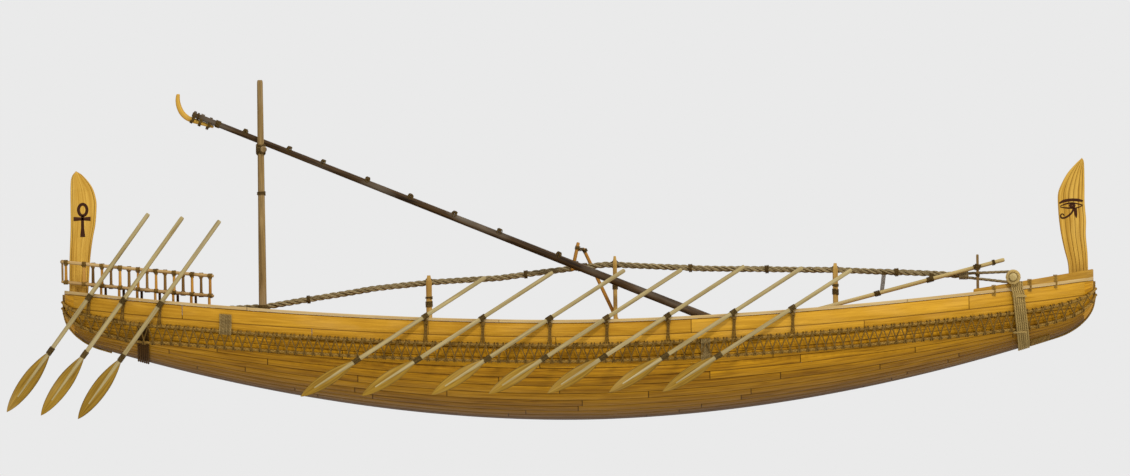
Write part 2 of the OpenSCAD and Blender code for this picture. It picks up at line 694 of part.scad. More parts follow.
rowing_oar(1, -1);  // rowing_oar_starboard_2
rowing_oar(2, -1);  // rowing_oar_starboard_3
rowing_oar(3, -1);  // rowing_oar_starboard_4
rowing_oar(4, -1);  // rowing_oar_starboard_5
rowing_oar(5, -1);  // rowing_oar_starboard_6
rowing_oar(6, -1);  // rowing_oar_starboard_7
steering_oar(0, 1);  // steering_oar_port_1
steering_oar(1, 1);  // steering_oar_port_2
steering_oar(2, 1);  // steering_oar_port_3
steering_oar(0, -1);  // steering_oar_starboard_1
steering_oar(1, -1);  // steering_oar_starboard_2
steering_oar(2, -1);  // steering_oar_starboard_3
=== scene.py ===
import math
import bmesh
import bpy
import numpy as np
from mathutils import Matrix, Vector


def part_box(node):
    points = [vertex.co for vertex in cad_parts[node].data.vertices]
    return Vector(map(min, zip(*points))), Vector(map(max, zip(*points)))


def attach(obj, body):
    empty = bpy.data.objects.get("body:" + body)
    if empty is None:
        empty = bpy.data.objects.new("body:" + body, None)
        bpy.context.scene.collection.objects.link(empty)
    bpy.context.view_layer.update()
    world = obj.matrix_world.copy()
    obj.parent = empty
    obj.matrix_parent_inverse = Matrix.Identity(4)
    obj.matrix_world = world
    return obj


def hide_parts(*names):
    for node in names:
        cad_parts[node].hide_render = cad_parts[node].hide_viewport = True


bl_info = {
    "name": "Rope-trussed rowing ship",
    "version": (1, 0, 0),
    "blender": (4, 5, 0),
    "location": "View3D > Sidebar > Ship",
    "description": "Builds the planks, ropes, boards and oars of a lashed seagoing ship around its frame",
    "category": "Object",
}

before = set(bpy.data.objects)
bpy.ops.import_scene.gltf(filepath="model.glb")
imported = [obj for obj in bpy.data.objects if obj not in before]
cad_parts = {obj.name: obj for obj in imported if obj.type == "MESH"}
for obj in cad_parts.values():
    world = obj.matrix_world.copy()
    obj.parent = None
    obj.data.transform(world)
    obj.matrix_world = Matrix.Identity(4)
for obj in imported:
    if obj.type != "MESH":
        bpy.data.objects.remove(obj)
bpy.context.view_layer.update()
RNG = np.random.default_rng(7)

# Sizes that come from the frame, in metres
HALF_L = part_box("bow_block")[1][0]
BEAM = 2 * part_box("hull_planking")[1][1]
DRAUGHT = -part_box("hull_planking")[0][2]
BODY_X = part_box("hull_planking")[1][0]
FREEBOARD = 0.715
SHEER_RISE = 0.610
BOTTOM_RISE = 1.510
END_ROUND = 0.400
END_W = 0.280
PLANK_T = 0.120
DECK_DROP = 0.430
GUNWALE_H = 0.050
GUNWALE_LIP = 0.015
GUNWALE_IN = 0.135
HINGE = np.array([2.8, 0.0, 0.0])
MAST_REST = math.radians(22.3)
MAST_L = 10.09
LEG_FOOT_R = 0.076
LEG_HEAD_R = 0.048
HEAD_Y = 0.062
STERN_BELT_X = -0.847 * HALF_L
BEAM_X = 0.5 * (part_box("bow_crossbeam")[0][0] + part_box("bow_crossbeam")[1][0])
BEAM_Z = 0.5 * (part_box("bow_crossbeam")[0][2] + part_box("bow_crossbeam")[1][2])
BEAM_R = 0.068
SIDES = (("port", 1), ("starboard", -1))
ROWING = [(-0.2995, 1.24), (-0.1886, 1.45), (-0.0583, 1.55), (0.0526, 1.55), (0.1715, 1.58),
          (0.2995, 1.42), (0.4138, 1.22)]
STEERING = [-0.9526, -0.8864, -0.8145]
RUNGS = [3.42, 4.5, 5.32, 6.125, 6.91, 7.715, 8.335, 9.14]
TRUSS = [(-0.69, 0.42), (-0.61, 0.515), (-0.396, 0.935), (-0.2925, 1.075), (-0.153, 1.185), (-0.017, 1.35),
         (0.05, 1.405), (0.0725, 1.4), (0.236, 1.275), (0.5, 1.085), (0.682, 0.875), (0.74, 0.79),
         (0.8, 0.735)]


# ---- Lines of the hull ----
def share(x):
    return np.minimum(1.0, np.abs(x) / HALF_L)


def half_b(x):
    return END_W / 2 + (BEAM - END_W) / 2 * (1 - share(x) ** 3) ** 0.6


def sheer_z(x):
    return FREEBOARD + SHEER_RISE * share(x) ** 1.75


def bottom_z(x):
    u = np.maximum(0.0, (share(x) - 0.93) / 0.07)
    return -DRAUGHT + BOTTOM_RISE * share(x) ** 1.9 + END_ROUND * (1 - np.sqrt(1 - u * u))


def deck_z(x):
    return sheer_z(x) - DECK_DROP


def rail_z(x):
    return sheer_z(x) + GUNWALE_H


def angle_at(x, depth):
    """Angle round the section at a depth below the sheer, 0 at the sheer and a quarter turn at the keel."""
    full = sheer_z(x) - bottom_z(x)
    return np.arcsin(np.clip(depth / full, 0, 1) ** (1 / 0.9))


def skin(x, inset, a):
    """Point of the starboard planking, inset from its outer face."""
    half = half_b(x)
    inset = np.minimum(inset, 0.42 * half)
    y = -(half - inset) * np.cos(a) ** 0.8
    z = sheer_z(x) - (sheer_z(x) - bottom_z(x) - inset) * np.sin(a) ** 0.9
    return np.stack([x + 0 * y, y, z], axis=-1)


def skin_normal(x, a):
    step = 0.01
    up = min(a + step, math.pi / 2)
    down = max(a - step, 0.0005)
    round_it = skin(x, 0, up) - skin(x, 0, down)
    along = skin(x + step, 0, a) - skin(x - step, 0, a)
    n = np.cross(round_it, along)
    n = n / np.linalg.norm(n)
    return n if n[1] < 0 or n[2] < 0 and abs(n[1]) < 1e-6 else -n


def off_skin(x, depth, off):
    """Point at a depth below the sheer, clear of the starboard planking by off."""
    shallow = depth * min(1.0, float(sheer_z(x) - bottom_z(x)) / 0.95)
    a = float(angle_at(x, shallow))
    return skin(x, 0, a) + off * skin_normal(x, a)


HINGE[2] = deck_z(HINGE[0]) + 0.15


def mast_point(s, y, n):
    c, w = math.cos(MAST_REST), math.sin(MAST_REST)
    return np.array([HINGE[0] - s * c + n * w, y, HINGE[2] + s * w + n * c])


def leg_y(s):
    return 0.5 - (0.5 - HEAD_Y) * s / MAST_L


def leg_r(s):
    return LEG_FOOT_R - (LEG_FOOT_R - LEG_HEAD_R) * s / MAST_L


MAST_AHEAD = mast_point(1, 0, 0) - mast_point(0, 0, 0)


# ---- Mesh making ----
SHARP_EDGE = math.radians(38)


class Shape:
    """Points and faces of one piece, with the grain, seam, tint and shade of each point."""

    def __init__(self):
        self.points = []
        self.faces = []
        self.data = []
        self.count = 0

    def add(self, points, faces, grain, seam=0.0, tint=0.0, shade=0.0):
        points = np.asarray(points, float).reshape(-1, 3)
        data = np.zeros((len(points), 6))
        data[:, 0:3] = np.asarray(grain, float).reshape(-1, 3)
        data[:, 3] = np.ravel(seam)
        data[:, 4] = np.ravel(tint)
        data[:, 5] = np.ravel(shade)
        for some in faces:
            if len(some):
                self.faces.extend((np.asarray(some) + self.count).tolist())
        self.points.append(points)
        self.data.append(data)
        self.count += len(points)

    def mesh(self, name):
        mesh = bpy.data.meshes.new(name)
        mesh.from_pydata(np.concatenate(self.points).tolist(), [], self.faces)
        data = np.concatenate(self.data)
        grain = mesh.attributes.new("grain", "FLOAT_VECTOR", "POINT")
        grain.data.foreach_set("vector", data[:, 0:3].astype(np.float32).ravel())
        for column, label in enumerate(("seam", "tint", "shade"), 3):
            values = mesh.attributes.new(label, "FLOAT", "POINT")
            values.data.foreach_set("value", data[:, column].astype(np.float32))
        return mesh


def loft(shape, rings, seam=0.0, tint=0.0, shade=0.0, around=None):
    """Closed skin through rings of points, with both ends closed."""
    rings = np.asarray(rings, float)
    n, m = rings.shape[:2]
    middles = rings.mean(axis=1)
    steps = np.linalg.norm(np.diff(middles, axis=0), axis=1)
    along = np.concatenate([[0], np.cumsum(steps)])
    if around is None:
        edges = np.linalg.norm(np.roll(rings[n // 2], -1, axis=0) - rings[n // 2], axis=1)
        around = np.concatenate([[0], np.cumsum(edges)[:-1]])
    offset = RNG.random(3) * 9
    grain = np.zeros((n, m, 3))
    grain[:, :, 0] = along[:, None] + offset[0]
    grain[:, :, 1] = np.broadcast_to(around, (n, m)) + offset[1]
    grain[:, :, 2] = offset[2]
    i = np.arange(n - 1)[:, None] * m
    j = np.arange(m)[None, :]
    k = (j + 1) % m
    quads = np.stack([i + j, i + k, i + m + k, i + m + j], axis=-1).reshape(-1, 4)
    points = np.concatenate([rings.reshape(-1, 3), middles[[0, -1]]])
    grain = np.concatenate([grain.reshape(-1, 3), [grain[0].mean(axis=0), grain[-1].mean(axis=0)]])
    full = []
    for value in (seam, tint, shade):
        value = np.broadcast_to(np.asarray(value, float), (n, m)).ravel()
        full.append(np.concatenate([value, [value[:m].mean(), value[-m:].mean()]]))
    j = np.arange(m)
    k = (j + 1) % m
    last = (n - 1) * m
    first_cap = np.stack([k, j, np.full(m, n * m)], axis=-1)
    last_cap = np.stack([last + j, last + k, np.full(m, n * m + 1)], axis=-1)
    shape.add(points, [quads, first_cap, last_cap], grain, *full)


def frames(path, up=(0.0, 0.0, 1.0), loop=False):
    """Directions along and square to a path, carried along it without twist."""
    path = np.asarray(path, float)
    if loop:
        ahead = np.roll(path, -1, axis=0) - np.roll(path, 1, axis=0)
    else:
        ahead = np.gradient(path, axis=0)
    ahead = ahead / np.linalg.norm(ahead, axis=1)[:, None]
    first = np.array(up, float)
    if abs(first @ ahead[0]) > 0.95:
        first = np.array([0.0, 1.0, 0.0])
    side = np.zeros_like(path)
    for i, d in enumerate(ahead):
        first = first - (first @ d) * d
        first = first / np.linalg.norm(first)
        side[i] = first
    return ahead, side, np.cross(ahead, side)


def resample(path, step):
    path = np.asarray(path, float)
    lengths = np.concatenate([[0], np.cumsum(np.linalg.norm(np.diff(path, axis=0), axis=1))])
    count = max(2, int(round(lengths[-1] / step)) + 1)
    at = np.linspace(0, lengths[-1], count)
    return np.stack([np.interp(at, lengths, path[:, c]) for c in range(3)], axis=-1)


def smooth_path(points, step):
    """Curve through points, sampled at about equal steps."""
    points = np.asarray(points, float)
    padded = np.concatenate([[2 * points[0] - points[1]], points, [2 * points[-1] - points[-2]]])
    out = []
    for i in range(1, len(padded) - 2):
        p0, p1, p2, p3 = padded[i - 1:i + 3]
        for t in np.linspace(0, 1, 12, endpoint=False):
            out.append(0.5 * (2 * p1 + (p2 - p0) * t + (2 * p0 - 5 * p1 + 4 * p2 - p3) * t * t
                              + (3 * p1 - p0 - 3 * p2 + p3) * t ** 3))
    out.append(points[-1])
    return resample(out, step)


def tube(shape, path, radius, sides=10, strands=0, pitch=0.2, up=(0, 0, 1), tint=None, shade=0.0, flat=1.0,
         loop=False, wobble=0.0):
    """Round pole, or a rope laid from strands, along a path."""
    path = np.asarray(path, float)
    _, side, over = frames(path, up, loop)
    radius = np.broadcast_to(np.asarray(radius, float), (len(path),))[:, None]
    lengths = np.concatenate([[0], np.cumsum(np.linalg.norm(np.diff(path, axis=0), axis=1))])
    turn = 2 * math.pi * np.arange(sides) / sides
    seam = 0.0
    if strands:
        phase = strands / 2 * (turn[None, :] - 2 * math.pi * lengths[:, None] / pitch)
        lobe = np.abs(np.cos(phase))
        radius = radius * (0.82 + 0.18 * lobe)
        # Painted shade: the valleys between the strands get a seam mark that darkens their colour.
        seam = np.clip(1 - lobe * 1.5, 0, 1)
    if wobble:
        waves = np.sin(lengths * 2.3 + RNG.random() * 6) + 0.6 * np.sin(lengths * 5.9 + RNG.random() * 6)
        radius = radius * (1 + wobble * waves[:, None])
    rings = (path[:, None, :] + side[:, None, :] * (radius * np.cos(turn))[:, :, None]
             + over[:, None, :] * (radius * flat * np.sin(turn))[:, :, None])
    if loop:
        rings = np.concatenate([rings, rings[:1]])
        seam = np.concatenate([seam, seam[:1]]) if strands else seam
    around = turn * float(np.mean(radius))
    loft(shape, rings, seam, RNG.random() if tint is None else tint, shade, around)


def pole(shape, a, b, ra, rb=None, sides=14, swell=0.012):
    """Tapered pole with softly rounded ends."""
    a, b = np.asarray(a, float), np.asarray(b, float)
    rb = ra if rb is None else rb
    length = np.linalg.norm(b - a)
    count = max(3, int(length / 0.35))
    t = np.unique(np.concatenate([[0, 0.35 * ra / length, ra / length], np.linspace(0, 1, count)[1:-1],
                                  [1 - rb / length, 1 - 0.35 * rb / length, 1]]))
    t = t[(t >= 0) & (t <= 1)]
    radius = ra + (rb - ra) * t
    radius = radius * (1 - swell + swell * np.sin(t * length * 3.1 + RNG.random() * 6))
    radius[[0, -1]] *= 0.72
    radius[[1, -2]] *= 0.93
    tube(shape, a + (b - a) * t[:, None], radius, sides)


def coil(shape, centre, axis, radius, width, rope_r, turns=None, other=None, sides=5):
    """Lashing of thin rope wound round an axis, with a round or oval section."""
    axis = np.asarray(axis, float)
    axis = axis / np.linalg.norm(axis)
    turns = max(1.6, width / (2.1 * rope_r)) if turns is None else turns
    steps = int(turns * 9)
    first = np.cross(axis, (0.0, 1.0, 0.0))
    if np.linalg.norm(first) < 0.2:
        first = np.cross(axis, (1.0, 0.0, 0.0))
    first = first / np.linalg.norm(first)
    second = np.cross(axis, first)
    t = np.arange(steps + 1) / steps
    turn = 2 * math.pi * turns * t + RNG.random() * 6
    wide = (radius if other is None else other) + rope_r
    path = (np.asarray(centre, float) + axis * ((t - 0.5) * width)[:, None]
            + first * ((radius + rope_r) * np.cos(turn))[:, None] + second * (wide * np.sin(turn))[:, None])
    tube(shape, path, rope_r, sides, up=axis)


def plank(shape, low, high, edge, crown):
    """Board between two lines of corners: low and high are arrays (n, 2, 3), under and upper face edges."""
    low, high = np.asarray(low, float), np.asarray(high, float)
    width = np.linalg.norm(high[:, 1] - high[:, 0], axis=1)
    ease = np.minimum(0.45, edge / np.maximum(width, 1e-6))
    up = high.mean(axis=1) - low.mean(axis=1)
    up = up / np.linalg.norm(up, axis=1)[:, None]
    marks = [(0.0, -0.9), (0.35, -0.25), (1.0, 0.0)]
    across = [(t * ease, drop) for t, drop in marks] + [(0.5 + 0 * ease, crown / edge)]
    across += [(1 - t * ease, drop) for t, drop in reversed(marks)]
    rings = []
    for t, drop in across:
        rings.append(high[:, 0] + (high[:, 1] - high[:, 0]) * t[:, None] + up * drop * edge)
    rings += [low[:, 1], low[:, 0]]
    seam = np.array([1, 0.6, 0, 0, 0, 0.6, 1, 1, 1.0])
    spread = float(np.median(width))
    around = spread * np.array([0, 0.03, 0.08, 0.5, 0.92, 0.97, 1, 1.2, -0.2])
    loft(shape, np.stack(rings, axis=1), seam, RNG.random(), 0.0, around)


def middle(node):
    """Middle of a frame node's box."""
    low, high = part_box(node)
    return [0.5 * (a + b) for a, b in zip(low, high)]


def mirrored(points):
    return np.asarray(points, float) * np.array([1.0, -1.0, 1.0])


def on_side(points, side):
    """Starboard points as they are, or mirrored to port when side is 1."""
    return mirrored(points) if side > 0 else points


def make(shape, name, body, finish, slot, *nodes):
    """Turns a shape into a piece that rides on a body and stands for its frame nodes."""
    mesh = shape.mesh(name)
    bm = bmesh.new()
    bm.from_mesh(mesh)
    bmesh.ops.recalc_face_normals(bm, faces=bm.faces)
    bm.to_mesh(mesh)
    bm.free()
    mesh.shade_smooth()
    mesh.set_sharp_from_angle(angle=SHARP_EDGE)
    mesh.materials.append(finish)
    piece = bpy.data.objects.new(name, mesh)
    bpy.context.scene.collection.objects.link(piece)
    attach(piece, body)
    if nodes:
        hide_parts(*nodes)
    return piece


# ---- Finishes ----
def rgb(r, g, b):
    """Linear colour from an everyday 0 to 255 one."""
    out = []
    for v in (r, g, b):
        v = v / 255
        out.append(v / 12.92 if v <= 0.04045 else ((v + 0.055) / 1.055) ** 2.4)
    return (*out, 1.0)


class Nodes:
    """Short way to add and link shader nodes in a tree."""

    def __init__(self, tree):
        self.tree = tree

    def add(self, kind, **values):
        node = self.tree.nodes.new(kind)
        for key, value in values.items():
            setattr(node, key, value)
        return node

    def link(self, a, b):
        self.tree.links.new(a, b)

    def feed(self, socket, value):
        if isinstance(value, bpy.types.NodeSocket):
            self.link(value, socket)
        else:
            socket.default_value = value

    def math(self, operation, a, b=0.5, clamp=False):
        node = self.add("ShaderNodeMath", operation=operation, use_clamp=clamp)
        self.feed(node.inputs[0], a)
        self.feed(node.inputs[1], b)
        return node.outputs[0]

    def mix(self, factor, a, b):
        node = self.add("ShaderNodeMix", data_type="RGBA")
        self.feed(node.inputs[0], factor)
        self.feed(node.inputs[6], a)
        self.feed(node.inputs[7], b)
        return node.outputs[2]

    def noise(self, vector, scale, detail=4.0, roughness=0.55, distortion=0.0):
        node = self.add("ShaderNodeTexNoise")
        self.link(vector, node.inputs["Vector"])
        node.inputs["Scale"].default_value = scale
        node.inputs["Detail"].default_value = detail
        node.inputs["Roughness"].default_value = roughness
        node.inputs["Distortion"].default_value = distortion
        return node.outputs[0]

    def stretch(self, vector, x, y, z):
        node = self.add("ShaderNodeVectorMath", operation="MULTIPLY")
        self.link(vector, node.inputs[0])
        node.inputs[1].default_value = (x, y, z)
        return node.outputs[0]

    def attribute(self, name, output):
        return self.add("ShaderNodeAttribute", attribute_name=name).outputs[output]

    def spread(self, value, low, high, to_low=0.0, to_high=1.0):
        node = self.add("ShaderNodeMapRange", clamp=True)
        self.link(value, node.inputs[0])
        for socket, number in zip(node.inputs[1:5], (low, high, to_low, to_high)):
            socket.default_value = number
        return node.outputs[0]


def group(name, colours, numbers, outputs):
    """Empty shader node group with named colour and number inputs."""
    tree = bpy.data.node_groups.new(name, "ShaderNodeTree")
    for label in colours:
        tree.interface.new_socket(label, in_out="INPUT", socket_type="NodeSocketColor")
    for label in numbers:
        tree.interface.new_socket(label, in_out="INPUT", socket_type="NodeSocketFloat")
    for label, kind in outputs:
        tree.interface.new_socket(label, in_out="OUTPUT", socket_type=kind)
    n = Nodes(tree)
    return tree, n, n.add("NodeGroupInput").outputs, n.add("NodeGroupOutput").inputs


SURFACE = (("Color", "NodeSocketColor"), ("Roughness", "NodeSocketFloat"), ("Height", "NodeSocketFloat"))


def wood_group():
    tree, n, given, out = group("Sawn and adzed wood", ("Light", "Dark", "Joint"),
                                ("Figure", "Board Change", "Depth Shade", "Weather"), SURFACE)
    grain = n.attribute("grain", "Vector")
    seam = n.attribute("seam", "Fac")
    tint = n.attribute("tint", "Fac")
    shade = n.attribute("shade", "Fac")
    figure = n.noise(n.stretch(grain, 1.1, 26.0, 9.0), 1.0, 5.0, 0.6, 0.9)
    fibre = n.noise(n.stretch(grain, 5.0, 260.0, 9.0), 1.0, 3.0, 0.6)
    patch = n.noise(n.stretch(grain, 0.9, 2.6, 5.0), 1.0, 3.0, 0.5)
    adze = n.noise(n.stretch(grain, 7.0, 17.0, 5.0), 1.0, 2.0, 0.5)
    streak = n.spread(figure, 0.33, 0.68)
    amount = n.math("MULTIPLY", n.math("SUBTRACT", streak, 0.5), given["Figure"])
    amount = n.math("ADD", amount, n.math("MULTIPLY", n.math("SUBTRACT", tint, 0.5), given["Board Change"]))
    amount = n.math("ADD", amount, n.math("MULTIPLY", n.math("SUBTRACT", patch, 0.5), 0.55))
    amount = n.math("ADD", amount, n.math("MULTIPLY", n.math("SUBTRACT", fibre, 0.5), 0.3))
    amount = n.math("ADD", amount, 0.55, clamp=True)
    colour = n.mix(amount, given["Dark"], given["Light"])
    worn = n.math("MULTIPLY", n.spread(patch, 0.52, 0.72), given["Weather"])
    colour = n.mix(worn, colour, (0.42, 0.38, 0.30, 1.0))
    # Painted shade: the shade attribute, scaled by Depth Shade, darkens the wood toward the keel and toward
    # the foot of the carved boards.
    colour = n.mix(n.math("MULTIPLY", shade, given["Depth Shade"], clamp=True), colour, given["Joint"])
    # Dark joints and edges along the seam mask; on the carved boards the same mask puts painted shade in the
    # grooves.
    dark_seams_and_groove_shade = n.math("MULTIPLY", n.spread(seam, 0.35, 1.0), 0.85)
    colour = n.mix(dark_seams_and_groove_shade, colour, given["Joint"])
    check = n.spread(n.noise(n.stretch(grain, 0.8, 75.0, 3.0), 1.0, 2.0), 0.70, 0.78)
    colour = n.mix(n.math("MULTIPLY", check, 0.45), colour, given["Joint"])
    n.link(colour, out["Color"])
    dull = n.math("ADD", fibre, n.math("MULTIPLY", streak, -0.4))
    n.link(n.spread(dull, -0.1, 0.8, 0.48, 0.78), out["Roughness"])
    height = n.math("ADD", n.math("MULTIPLY", streak, 0.35), n.math("MULTIPLY", fibre, 0.35))
    height = n.math("ADD", height, n.math("MULTIPLY", adze, 0.7))
    height = n.math("SUBTRACT", height, n.math("MULTIPLY", check, 0.8))
    n.link(height, out["Height"])
    return tree


def rope_group():
    tree, n, given, out = group("Laid fibre rope", ("Light", "Dark", "Groove"), ("Twist", "Soil"), SURFACE)
    grain = n.attribute("grain", "Vector")
    seam = n.attribute("seam", "Fac")
    tint = n.attribute("tint", "Fac")
    parts = n.add("ShaderNodeSeparateXYZ")
    n.link(grain, parts.inputs[0])
    turn = n.math("MULTIPLY", parts.outputs[0], given["Twist"])
    turn = n.math("ADD", turn, n.math("MULTIPLY", parts.outputs[1], n.math("MULTIPLY", given["Twist"], 0.8)))
    yarn = n.math("ABSOLUTE", n.math("SINE", turn))
    hair = n.noise(n.stretch(grain, 60.0, 300.0, 9.0), 1.0, 3.0, 0.65)
    soil = n.noise(n.stretch(grain, 2.2, 6.0, 5.0), 1.0, 4.0, 0.6)
    amount = n.math("ADD", n.math("MULTIPLY", yarn, 0.35), n.math("MULTIPLY", hair, 0.45))
    amount = n.math("ADD", amount, n.math("MULTIPLY", n.math("SUBTRACT", tint, 0.5), 0.35), clamp=True)
    colour = n.mix(amount, given["Dark"], given["Light"])
    dirty = n.math("MULTIPLY", n.spread(soil, 0.45, 0.7), given["Soil"])
    colour = n.mix(dirty, colour, given["Groove"])
    # Painted shade: the seam mask darkens the valleys between the strands.
    colour = n.mix(n.math("MULTIPLY", seam, 0.8, clamp=True), colour, given["Groove"])
    n.link(colour, out["Color"])
    n.link(n.spread(hair, 0.2, 0.8, 0.72, 0.95), out["Roughness"])
    n.link(n.math("ADD", yarn, n.math("MULTIPLY", hair, 0.6)), out["Height"])
    return tree


def finish(name, tree, colours, numbers, bump, specular):
    """Material of one finish: a shared surface group, a bump and one glossy shader."""
    material = bpy.data.materials.new(name)
    material.use_nodes = True
    material.node_tree.nodes.clear()
    n = Nodes(material.node_tree)
    surface = n.add("ShaderNodeGroup", node_tree=tree)
    for label, value in {**colours, **numbers}.items():
        surface.inputs[label].default_value = value
    relief = n.add("ShaderNodeBump")
    relief.inputs["Strength"].default_value = 1.0
    relief.inputs["Distance"].default_value = bump
    n.link(surface.outputs["Height"], relief.inputs["Height"])
    shader = n.add("ShaderNodeBsdfPrincipled")
    shader.inputs["Specular IOR Level"].default_value = specular
    n.link(surface.outputs["Color"], shader.inputs["Base Color"])
    n.link(surface.outputs["Roughness"], shader.inputs["Roughness"])
    n.link(relief.outputs[0], shader.inputs["Normal"])
    n.link(shader.outputs[0], n.add("ShaderNodeOutputMaterial").inputs[0])
    return material


# Wood finishes: light and dark colours, a colour for the joints that the painted shade also darkens to, then
# figure, board change, depth shade and weather.
# A colour is given by its own value or by the name of the setting that holds it.
WOODS = {
    "hull_wood": ("hull_light", "hull_dark", (52, 28, 2), 0.9, 0.40, 0.95, 0.02),
    "strake_wood": ("strake_light", "strake_dark", (92, 58, 12), 0.60, 0.30, 0.25, 0.06),
    "rail_wood": ((198, 172, 118), (154, 120, 68), (96, 70, 34), 0.45, 0.25, 0.0, 0.15),
    "deck_wood": ((180, 136, 70), (124, 84, 36), (56, 38, 16), 0.5, 0.5, 0.0, 0.2),
    "carved_wood": ((206, 164, 70), (160, 114, 30), (104, 68, 16), 0.85, 0.25, 0.5, 0.04),
    "railing_wood": ((190, 158, 104), (140, 106, 60), (70, 46, 20), 0.5, 0.6, 0.0, 0.1),
    "crutch_wood": ((196, 160, 88), (140, 104, 44), (66, 48, 22), 0.6, 0.3, 0.0, 0.15),
    "mast_wood": ((78, 56, 28), (24, 14, 5), (12, 7, 3), 0.8, 0.3, 0.0, 0.2),
    "spar_wood": ((190, 168, 112), (134, 110, 60), (70, 52, 22), 0.5, 0.4, 0.0, 0.15),
    "oar_wood": ((172, 154, 106), (104, 84, 48), (70, 54, 26), 0.6, 0.4, 0.0, 0.15),
    "cap_wood": ((176, 132, 42), (128, 86, 18), (66, 40, 8), 0.8, 0.3, 0.0, 0.1),
    "mast_crutch_wood": ((148, 120, 72), (76, 54, 24), (46, 32, 12), 0.8, 0.3, 0.0, 0.15),
    "blade_wood": ((164, 128, 42), (104, 74, 12), (48, 34, 6), 0.7, 0.4, 0.0, 0.1),
    # The port balusters, on the far side, take a darker copy of the same wood: painted shade.
    "baluster_starboard": ((190, 138, 54), (140, 92, 30), (66, 38, 12), 0.5, 0.6, 0.0, 0.1),
    "baluster_port": ((140, 108, 56), (88, 62, 26), (34, 26, 12), 0.5, 0.6, 0.0, 0.1),
    "inlay": ((66, 30, 6), (36, 14, 2), (18, 7, 1), 0.4, 0.2, 0.0, 0.0),
}
# Rope finishes: light and dark colours, a colour for the soil and the painted shade in the grooves between
# strands, then the twist of the yarns and the soil
ROPES = {
    "rope": ("rope_light", (104, 82, 42), (56, 40, 16), 60.0, 0.3),
    "girdle_rope": ((182, 144, 70), (112, 80, 28), (58, 36, 10), 60.0, 0.3),
    "lacing": ((150, 116, 56), (84, 60, 22), (40, 26, 8), 60.0, 0.4),
    "truss_rope": ((176, 158, 118), (96, 78, 44), (48, 36, 16), 60.0, 0.3),
    "belt": ((196, 168, 104), (138, 112, 62), (66, 50, 22), 60.0, 0.35),
    "stern_belt": ((104, 72, 30), (58, 36, 12), (28, 16, 4), 60.0, 0.4),
    "lashing": ((112, 90, 48), (58, 42, 18), (28, 19, 7), 60.0, 0.4),
}
PLANK_BUMP = 0.004
POLE_BUMP = 0.0025
ROPE_BUMP = 0.002
WOOD_GLOSS = 0.12
ROPE_GLOSS = 0.06
FINISH = {}


def chosen(look, value):
    """Colour of a finish: its own value, or the setting that it names."""
    return (*getattr(look, value), 1.0) if isinstance(value, str) else rgb(*value)


def make_finishes(look):
    wood = wood_group()
    rope = rope_group()
    labels = ("Figure", "Board Change", "Depth Shade", "Weather")
    for name, (light, dark, joint_and_shade, *numbers) in WOODS.items():
        colours = {"Light": chosen(look, light), "Dark": chosen(look, dark), "Joint": rgb(*joint_and_shade)}
        bump = PLANK_BUMP if name in ("hull_wood", "strake_wood", "deck_wood") else POLE_BUMP
        FINISH[name] = finish(name, wood, colours, dict(zip(labels, numbers)), bump, WOOD_GLOSS)
    for name, (light, dark, soil_and_crease_shade, twist, soil) in ROPES.items():
        colours = {"Light": chosen(look, light), "Dark": rgb(*dark), "Groove": rgb(*soil_and_crease_shade)}
        FINISH[name] = finish(name, rope, colours, {"Twist": twist, "Soil": soil}, ROPE_BUMP, ROPE_GLOSS)


# ---- Hull ----
# Marks across a plank: share of its width, inset from the skin and darkness of the seam
STRAKE_MARKS = ((0.0, 0.011, 1.0), (0.045, 0.003, 0.55), (0.1, 0.0, 0.0), (0.5, -0.0015, 0.0),
                (0.9, 0.0, 0.0), (0.955, 0.003, 0.55), (1.0, 0.011, 1.0))
INNER_MARKS = ((1.0, -0.008, 1.0), (0.93, 0.0, 0.1), (0.5, 0.0, 0.0), (0.07, 0.0, 0.1), (0.0, -0.008, 1.0))
HIDDEN_MARKS = INNER_MARKS[::4]
SHEER_ROWS = ((0.0, 0.56), (0.56, 1.0))
BUTT_EASE = 0.014
STATION_STEP = 0.16


def strake(shape, side, x0, x1, low, high, tint, inner_marks):
    """One plank of the skin from x0 to x1, between two fractions of the girth, eased at its edges."""
    inside = np.linspace(x0 + BUTT_EASE, x1 - BUTT_EASE, max(3, int((x1 - x0) / STATION_STEP)))
    xs = np.concatenate([[x0 + 0.001, x0 + 0.005], inside, [x1 - 0.005, x1 - 0.001]])
    drop = np.zeros(len(xs))
    drop[[0, -1]] = 0.009
    drop[[1, -2]] = 0.002
    end_seam = np.zeros(len(xs))
    end_seam[[0, 1, -2, -1]] = 0.9
    a0 = girth_angle(xs, low)
    a1 = girth_angle(xs, high)
    rings = [skin(xs, np.maximum(inset, drop), a0 + (a1 - a0) * t) for t, inset, _ in STRAKE_MARKS]
    rings += [skin(xs, PLANK_T + inset, a0 + (a1 - a0) * t) for t, inset, _ in inner_marks]
    rings = on_side(np.stack(rings, axis=1), side)
    seams = [np.maximum(seam, end_seam) for _, _, seam in (*STRAKE_MARKS, *inner_marks)]
    width = float(np.median(np.linalg.norm(rings[:, 6] - rings[:, 0], axis=1)))
    outer = [mark[0] for mark in STRAKE_MARKS]
    around = np.array(outer + [1.0 + 0.25 * (i + 1) for i in range(len(inner_marks))])
    low_down = np.stack([a0 + (a1 - a0) * share_across for share_across in outer], axis=1)
    # Painted shade: the planks below the sheer strake grow darker toward the keel, by how far round the
    # section they lie; the sheer strake gets none.
    dark = np.clip((low_down - 0.35) / 1.15, 0, 1) ** 1.2 if high > 1 else 0 * low_down
    dark = np.concatenate([dark, np.repeat(dark[:, -1:], len(inner_marks), axis=1)], axis=1)
    loft(shape, rings, np.stack(seams, axis=1), tint, dark, around * width)


